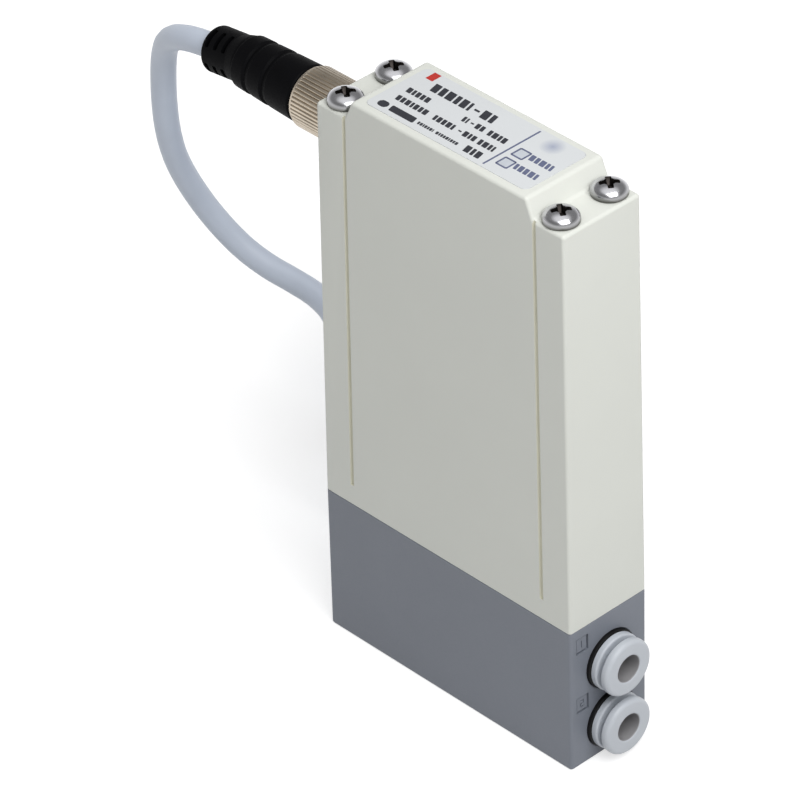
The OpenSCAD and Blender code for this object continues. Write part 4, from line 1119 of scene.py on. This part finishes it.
def make_nut(material):
    """Revolved nut whose middle rows rise and fall once for each rounded ridge."""
    bm = bmesh.new()
    place = at_plug()
    count = NUT_RIDGES * NUT_SAMPLES
    rows = []
    for radius, height, knurled in NUT_OUTLINE:
        row = []
        for k in range(count):
            share = (k % NUT_SAMPLES) / NUT_SAMPLES
            valley = max(0.0, 1 - abs(share - 0.5) / LINE_SHARE)
            depth = knurled * KNURL_DEPTH * valley * max(0.0, (radius - KNURL_CORE) / KNURL_RISE)
            row.append(bm.verts.new(place @ around(radius - depth, k / count, height)))
        rows.append(row)
    skin(bm, rows, joined=True)
    add_piece("plug_nut_ring", bm, [material], "plug_nut", ["coupling_nut"], NUT_SHARP)


def plug_skin(along):
    """Radius of the tapered body at a distance behind its front end."""
    return PLUG_RADIUS - PLUG_TAPER * along / (PLUG_BACK - PLUG_FRONT)


def plug_profile():
    corners = PLUG_NOSE + [(PLUG_NECK, PLUG_FRONT, 0), (PLUG_RADIUS, PLUG_FRONT, PLUG_ROUND)]
    lead_round, bottom_round, lip_round = GROOVE_ROUNDS
    for groove in PLUG_GROOVES:
        start = PLUG_FRONT + groove
        corners += [
            (plug_skin(groove), start - GROOVE_LEAD, lead_round),
            (plug_skin(groove) - GROOVE_DEEP, start + GROOVE_BOTTOM, bottom_round),
            (plug_skin(groove + GROOVE_WIDE) + GROOVE_LIP, start + GROOVE_WIDE, lip_round),
        ]
    return corners + [(PLUG_RADIUS - PLUG_TAPER, PLUG_BACK, PLUG_END_ROUND), (0, PLUG_BACK, 0)]


def make_plug(material):
    """Tapered body with turned grooves, and a drooping strain relief with slots on four sides."""
    place = at_plug()
    body = turned(rounded(plug_profile(), steps=4), place)
    whole = carve(body, turned(NOSE_CUT, place), [material])
    droop = place @ Matrix.Translation((0, 0, PLUG_BACK)) @ spun(-RELIEF_DROOP, "Y")
    slots = bmesh.new()
    for quarter in range(4):
        side = droop @ spun(90 * quarter + SLOT_TURN) @ TO_SIDE
        for start in RELIEF_SLOTS:
            slot = rectangle(-SLOT_HALF, start, SLOT_HALF, start + SLOT_WIDE)
            outline = softened(slot, SLOT_CORNER, steps=4)
            prism(slots, outline, RELIEF_RADIUS - SLOT_DEEP, SLOT_OUT, side)
    take_in(whole, carve(turned(rounded(RELIEF_PROFILE), droop), slots, [material]))
    add_piece("plug_moulding", whole, [material], "housing", ["plug_body"])


# Hank tie and bare cores
TIE_HALF = 5.0
TIE_THICK = 0.6
TIE_SUNK = 0.03
TIE_MIDDLE = 15.4
TIE_REACH = 5.93
TIE_HEIGHT = 27.61
TIE_CORNER = 1.4
TIE_EDGE = 0.2
TIE_SECTION = [
    (-TIE_HALF, 0), (TIE_HALF, 0), (TIE_HALF, 0.35), (TIE_HALF - TIE_EDGE, 0.55), (TIE_EDGE - TIE_HALF, 0.55),
    (-TIE_HALF, 0.35),
]
CORE_START = 6.5
CORE_RADIUS = 0.55
CORE_LANE = -7.2
CORE_Z = 2.0
CORE_SPREAD = 0.6
CORE_SIDES = [(-1, -1), (-1, 1), (1, 1), (1, -1)]
CORE_PROFILE = [(0, 0, 0), (CORE_RADIUS, 0, 0), (CORE_RADIUS, 6.2, 0.1), (0, 6.2, 0)]
STRAND_PROFILE = [(0, 6.1), (0.1, 6.1), (0.1, 9.3), (0.06, 9.4), (0, 9.4)]
STRANDS_ROUND = 6
STRAND_REACH = 0.2


def hank_place():
    return at(hank_middle) @ spun(HANK_TURN)


def make_tie(material):
    """Woven strap around one run of the hank, with soft edges."""
    place = hank_place()
    low = TIE_THICK - TIE_SUNK
    high = low + TIE_HEIGHT - TIE_THICK
    loop = rectangle(TIE_MIDDLE - TIE_REACH, low, TIE_MIDDLE + TIE_REACH, high)
    inner = [Vector(point) for point in softened(loop, TIE_CORNER, steps=6)]
    middle = Vector((TIE_MIDDLE, (low + high) / 2))
    bm = bmesh.new()
    rows = []
    for k, point in enumerate(inner):
        along = (inner[(k + 1) % len(inner)] - inner[k - 1]).normalized()
        out = Vector((along.y, -along.x))
        if out.dot(point - middle) < 0:
            out = -out
        spots = [Vector((across, *(point + out * up))) for across, up in TIE_SECTION]
        rows.append([bm.verts.new(place @ spot) for spot in spots])
    skin(bm, rows, joined=True)
    return add_piece("hank_strap", bm, [material], "housing", ["hank_tie"])


def make_cores(jackets, copper):
    """Four jacketed cores, each with one strand in the middle and six round it."""
    bm = bmesh.new()
    for index, (across, up) in enumerate(CORE_SIDES):
        spot = (CORE_START, CORE_LANE + across * CORE_SPREAD, CORE_Z + up * CORE_SPREAD)
        core = hank_place() @ Matrix.Translation(spot) @ AXIS_OUT
        lathe(bm, rounded(CORE_PROFILE, steps=3), core, segments=24, index=index)
        for strand in range(STRANDS_ROUND + 1):
            reach = STRAND_REACH if strand < STRANDS_ROUND else 0.0
            wire = core @ Matrix.Translation(around(reach, strand / STRANDS_ROUND, 0))
            lathe(bm, STRAND_PROFILE, wire, segments=10, index=len(CORE_SIDES))
    return add_piece("lead_cores", bm, jackets + [copper], "housing", ["cable_cores"])


# Return springs
SPRING_WIRE = 0.17
SPRING_TURNS = 4
SPRING_STEPS = 32
SPRING_SIDES = 10
SPRING_GAP = 0.02


def make_spring(valve, material):
    """Return spring: one helix of wire, fitted to the box of the CAD spring."""
    low, high = (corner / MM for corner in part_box(f"{valve}_spring"))
    middle = (low + high) / 2
    radius = (high.x - low.x) / 2 - SPRING_WIRE
    start = low.z + SPRING_WIRE + SPRING_GAP
    rise = high.z - SPRING_WIRE - start
    count = SPRING_TURNS * SPRING_STEPS
    bm = bmesh.new()
    rows = []
    for k in range(count + 1):
        out = around(1, k / SPRING_STEPS, 0)
        centre = Vector((middle.x, middle.y, start + rise * k / count)) + out * radius
        row = []
        for side in range(SPRING_SIDES):
            angle = 2 * math.pi * side / SPRING_SIDES
            spoke = out * math.cos(angle) + Vector((0, 0, math.sin(angle)))
            row.append(bm.verts.new((centre + spoke * SPRING_WIRE) * MM))
        rows.append(row)
    skin(bm, rows)
    spring = add_piece(f"{valve}_coil_spring", bm, [material], "housing", [f"{valve}_spring"])
    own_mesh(spring)


# Pieces and materials

cover_ivory = moulded("cover_ivory", screen(224, 226, 219), 0.46, shade=0.012, cloud=60, grain=4200, bump=0.1)
# A little darker and yellower than the cover, for the groove faces: painted shade in the grooves
groove_painted_shade = moulded("groove_painted_shade", screen(216, 215, 198), 0.6, shade=0.03, cloud=200)
base_grey = moulded("base_grey", screen(122, 127, 137), 0.48, shade=0.025, cloud=70, grain=4200, bump=0.12)
seal_black = moulded("seal_black", screen(15, 15, 16), 0.6, shade=0.1, cloud=500, Specular_IOR_Level=0.2)
fitting_white = moulded("fitting_white", screen(195, 200, 207), 0.38, shade=0.015, cloud=200, bump=0.06)
plug_black = moulded(
    "plug_black", screen(12, 12, 14), 0.55, shade=0.12, cloud=300, grain=3600, bump=0.16,
    Specular_IOR_Level=0.04,
)
label_film = moulded("label_film", screen(217, 220, 222), 0.45, shade=0.01, cloud=150, grain=7000, bump=0.03)
print_dark = moulded("print_dark", screen(44, 46, 54), 0.5, shade=0.12, cloud=1500, bump=0.02)
print_red = moulded("print_red", screen(192, 44, 36), 0.5, shade=0.06, cloud=1500, bump=0.02)
print_navy = moulded("print_navy", screen(98, 105, 134), 0.5, shade=0.08, cloud=1500, bump=0.02)
print_faded = faded_patch(screen(164, 171, 190), screen(217, 220, 222))
# Darker grey for the bore wall of the push rings: painted shade
bore_painted_shade = moulded("bore_painted_shade", screen(150, 149, 151), 0.45, shade=0.04, cloud=300, bump=0.06)
# Dark metal for the screws' cross recesses: painted shade
recess_painted_shade = metal("recess_painted_shade", screen(58, 54, 52), 0.4, fine=1800)
# The dark first colour is painted shade on the lower rim of the screw heads
screw_nickel = shaded_screw_head(screen(78, 78, 72), screen(210, 210, 214))
nut_nickel = metal("nut_nickel", screen(196, 184, 167), 0.34, stretch=(0.05, 1, 1), fine=5200, bump=0.12)
tie_black = woven_strap()
core_copper = metal("core_copper", screen(206, 134, 92), 0.3, stretch=(0.1, 1, 1))
core_jackets = [
    moulded("core_brown", screen(112, 70, 46), 0.45, cloud=600),
    moulded("core_white", screen(222, 220, 214), 0.45, cloud=600),
    moulded("core_blue", screen(48, 84, 150), 0.45, cloud=600),
    moulded("core_black", screen(30, 30, 32), 0.45, cloud=600),
]

make_base(base_grey)
make_cover(cover_ivory, groove_painted_shade)
make_screws(screw_nickel, recess_painted_shade)
make_label(label_film)
make_print(print_dark, print_red, print_navy, print_faded)
make_fittings(fitting_white, seal_black, bore_painted_shade)
make_nut(nut_nickel)
make_plug(plug_black)
strap = make_tie(tie_black)
cores = make_cores(core_jackets, core_copper)

# Materials of the CAD nodes that stay
yoke_steel = metal("yoke_steel", screen(150, 152, 158), 0.38, stretch=(1, 1, 0.1))
bobbin_nylon = moulded("bobbin_nylon", screen(232, 226, 206), 0.5, cloud=400)
core_steel = metal("core_steel", screen(168, 170, 176), 0.25, stretch=(1, 1, 0.05))
spring_steel = metal("spring_steel", screen(186, 188, 192), 0.22)
terminal_tin = metal("terminal_tin", screen(206, 202, 190), 0.3, stretch=(1, 0.1, 1))
chuck_steel = metal("chuck_steel", screen(196, 198, 202), 0.24)
contact_gold = metal("contact_gold", screen(214, 176, 98), 0.22, stretch=(0.1, 1, 1))
receptacle = metal("receptacle_nickel", screen(190, 178, 158), 0.28, stretch=(0.1, 1, 1))
chip_black = moulded("chip_black", screen(38, 38, 41), 0.55, shade=0.1, cloud=900)
sensor_case = moulded("sensor_case", screen(198, 200, 206), 0.4, shade=0.04, cloud=600)
insert_black = moulded("insert_black", screen(34, 34, 37), 0.5, shade=0.08, cloud=600)
led_resin = clear_resin("led_resin", screen(226, 220, 160), 0.2, 0.3)
clear_guide = clear_resin("clear_guide", screen(216, 222, 230), 0.12, 0.15)

NODE_MATERIALS = {
    "base_gasket": seal_black, "light_guides": clear_guide, "circuit_board": circuit_green(),
    "board_components": chip_black, "indicator_leds": led_resin, "pressure_sensor": sensor_case,
    "sensor_seal": seal_black, "coil_terminals": terminal_tin, "connector_seal": seal_black,
    "connector_shell": receptacle, "connector_insert": insert_black, "connector_pins": contact_gold,
    "plug_carrier": insert_black, "plug_contacts": contact_gold,
}
NODE_MATERIALS["connector_board"] = NODE_MATERIALS["circuit_board"]
winding_copper = wound_copper()
for valve in ("supply", "exhaust"):
    NODE_MATERIALS[f"{valve}_yoke"] = yoke_steel
    NODE_MATERIALS[f"{valve}_bobbin"] = bobbin_nylon
    NODE_MATERIALS[f"{valve}_winding"] = winding_copper
    NODE_MATERIALS[f"{valve}_core"] = core_steel
    NODE_MATERIALS[f"{valve}_plunger"] = core_steel
    NODE_MATERIALS[f"{valve}_poppet"] = seal_black
    make_spring(valve, spring_steel)
for port in PORT_HEIGHTS:
    NODE_MATERIALS[f"{port}_chuck"] = chuck_steel
    NODE_MATERIALS[f"{port}_tube_seal"] = seal_black
for node, material in NODE_MATERIALS.items():
    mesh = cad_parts[node].data
    mesh.materials.clear()
    mesh.materials.append(material)

# Floor, world and lamp, in metres; only FLOOR_DROP is in millimetres
FLOOR_HALF = 4.0
FLOOR_DROP = 0.05
FLOOR_COLOUR = 0.62
LIFT_NEAR = 0.63
LIFT_FAR = 0.77
LIFT_FROM = 0.07
LIFT_TO = 0.2
KEY_WAY = Vector((0.567, -0.18, 0.8))
KEY_LEVEL = 0.72
KEY_DISTANCE = 0.36
KEY_SIDE = 0.26

# Greys by height above the horizon, as pairs of height and level
ROOM_GREYS = [(0.0, 0.18), (0.9, 0.63)]
SEEN_GREYS = [(0.05, 1.0), (0.95, 0.95), (0.45, 0.24), (0.8, 0.24)]


def add_lamp(name, way, level, distance, side):
    """Square soft lamp; level 1 lights a white surface that faces it to plain white."""
    data = bpy.data.lights.new(name, "AREA")
    data.size = side
    data.energy = level * math.pi ** 2 * distance ** 2
    lamp = bpy.data.objects.new(name, data)
    scene.collection.objects.link(lamp)
    turn = way.normalized().to_track_quat("Z", "Y").to_matrix().to_4x4()
    lamp.matrix_world = Matrix.Translation(CAMERA_AIM * MM + way.normalized() * distance) @ turn


def link_all(tree, *pairs):
    for output, target in pairs:
        tree.links.new(output, target)


def seen_share(tree):
    """1 for what the camera sees straight, in gloss or through glass, and 0 for plain light."""
    path = add_node(tree, "ShaderNodeLightPath")
    share = path.outputs["Is Camera Ray"]
    for ray in ("Is Glossy Ray", "Is Transmission Ray"):
        joined = add_node(tree, "ShaderNodeMath", operation="MAXIMUM")
        link_all(tree, (share, joined.inputs[0]), (path.outputs[ray], joined.inputs[1]))
        share = joined.outputs[0]
    return share


def make_floor():
    """White floor that keeps the object's shadow; its lift to white grows away from the object."""
    bm = bmesh.new()
    corners = rectangle(-FLOOR_HALF, -FLOOR_HALF, FLOOR_HALF, FLOOR_HALF)
    bm.faces.new([bm.verts.new((x, y, -FLOOR_DROP * MM)) for x, y in corners])
    material = bpy.data.materials.new("floor_white")
    material.use_nodes = True
    tree = material.node_tree
    tree.nodes.clear()
    diffuse = add_node(tree, "ShaderNodeBsdfDiffuse")
    put(diffuse, Color=(FLOOR_COLOUR, FLOOR_COLOUR, FLOOR_COLOUR, 1))
    coords = add_node(tree, "ShaderNodeTexCoord")
    reach = add_node(tree, "ShaderNodeVectorMath", operation="LENGTH")
    level = add_node(tree, "ShaderNodeMapRange")
    put(level, From_Min=LIFT_FROM, From_Max=LIFT_TO, To_Min=LIFT_NEAR, To_Max=LIFT_FAR)
    scale = add_node(tree, "ShaderNodeMath", operation="MULTIPLY")
    lift = add_node(tree, "ShaderNodeEmission")
    added = add_node(tree, "ShaderNodeAddShader")
    output = add_node(tree, "ShaderNodeOutputMaterial")
    link_all(
        tree, (coords.outputs["Object"], reach.inputs[0]), (reach.outputs["Value"], level.inputs["Value"]),
        (seen_share(tree), scale.inputs[0]), (level.outputs["Result"], scale.inputs[1]),
        (scale.outputs[0], lift.inputs["Strength"]), (diffuse.outputs[0], added.inputs[0]),
        (lift.outputs[0], added.inputs[1]), (added.outputs[0], output.inputs["Surface"]),
    )
    floor = mesh_object("floor", bm, [material])


def height_ramp(tree, greys):
    """Grey by height above the horizon; the ramp's two ends come first in greys."""
    coords = add_node(tree, "ShaderNodeTexCoord")
    split = add_node(tree, "ShaderNodeSeparateXYZ")
    ramp = add_node(tree, "ShaderNodeValToRGB")
    elements = ramp.color_ramp.elements
    for element, (height, level) in zip(elements, greys[:2]):
        element.position = height
        element.color = (level, level, level, 1)
    for height, level in greys[2:]:
        elements.new(height).color = (level, level, level, 1)
    link_all(tree, (coords.outputs["Generated"], split.inputs[0]), (split.outputs["Z"], ramp.inputs["Fac"]))
    return ramp.outputs["Color"]


def make_world():
    """Soft room, brighter overhead; what is seen is a white backdrop, grey above, with a pale ceiling."""
    world = bpy.data.worlds.new("room")
    scene.world = world
    world.use_nodes = True
    tree = world.node_tree
    tree.nodes.clear()
    room = add_node(tree, "ShaderNodeBackground")
    backdrop = add_node(tree, "ShaderNodeBackground")
    mix = add_node(tree, "ShaderNodeMixShader")
    output = add_node(tree, "ShaderNodeOutputWorld")
    link_all(
        tree, (height_ramp(tree, ROOM_GREYS), room.inputs["Color"]),
        (height_ramp(tree, SEEN_GREYS), backdrop.inputs["Color"]), (seen_share(tree), mix.inputs["Fac"]),
        (room.outputs[0], mix.inputs[1]), (backdrop.outputs[0], mix.inputs[2]),
        (mix.outputs[0], output.inputs["Surface"]),
    )


make_floor()
make_world()
add_lamp("key_lamp", KEY_WAY, KEY_LEVEL, KEY_DISTANCE, KEY_SIDE)
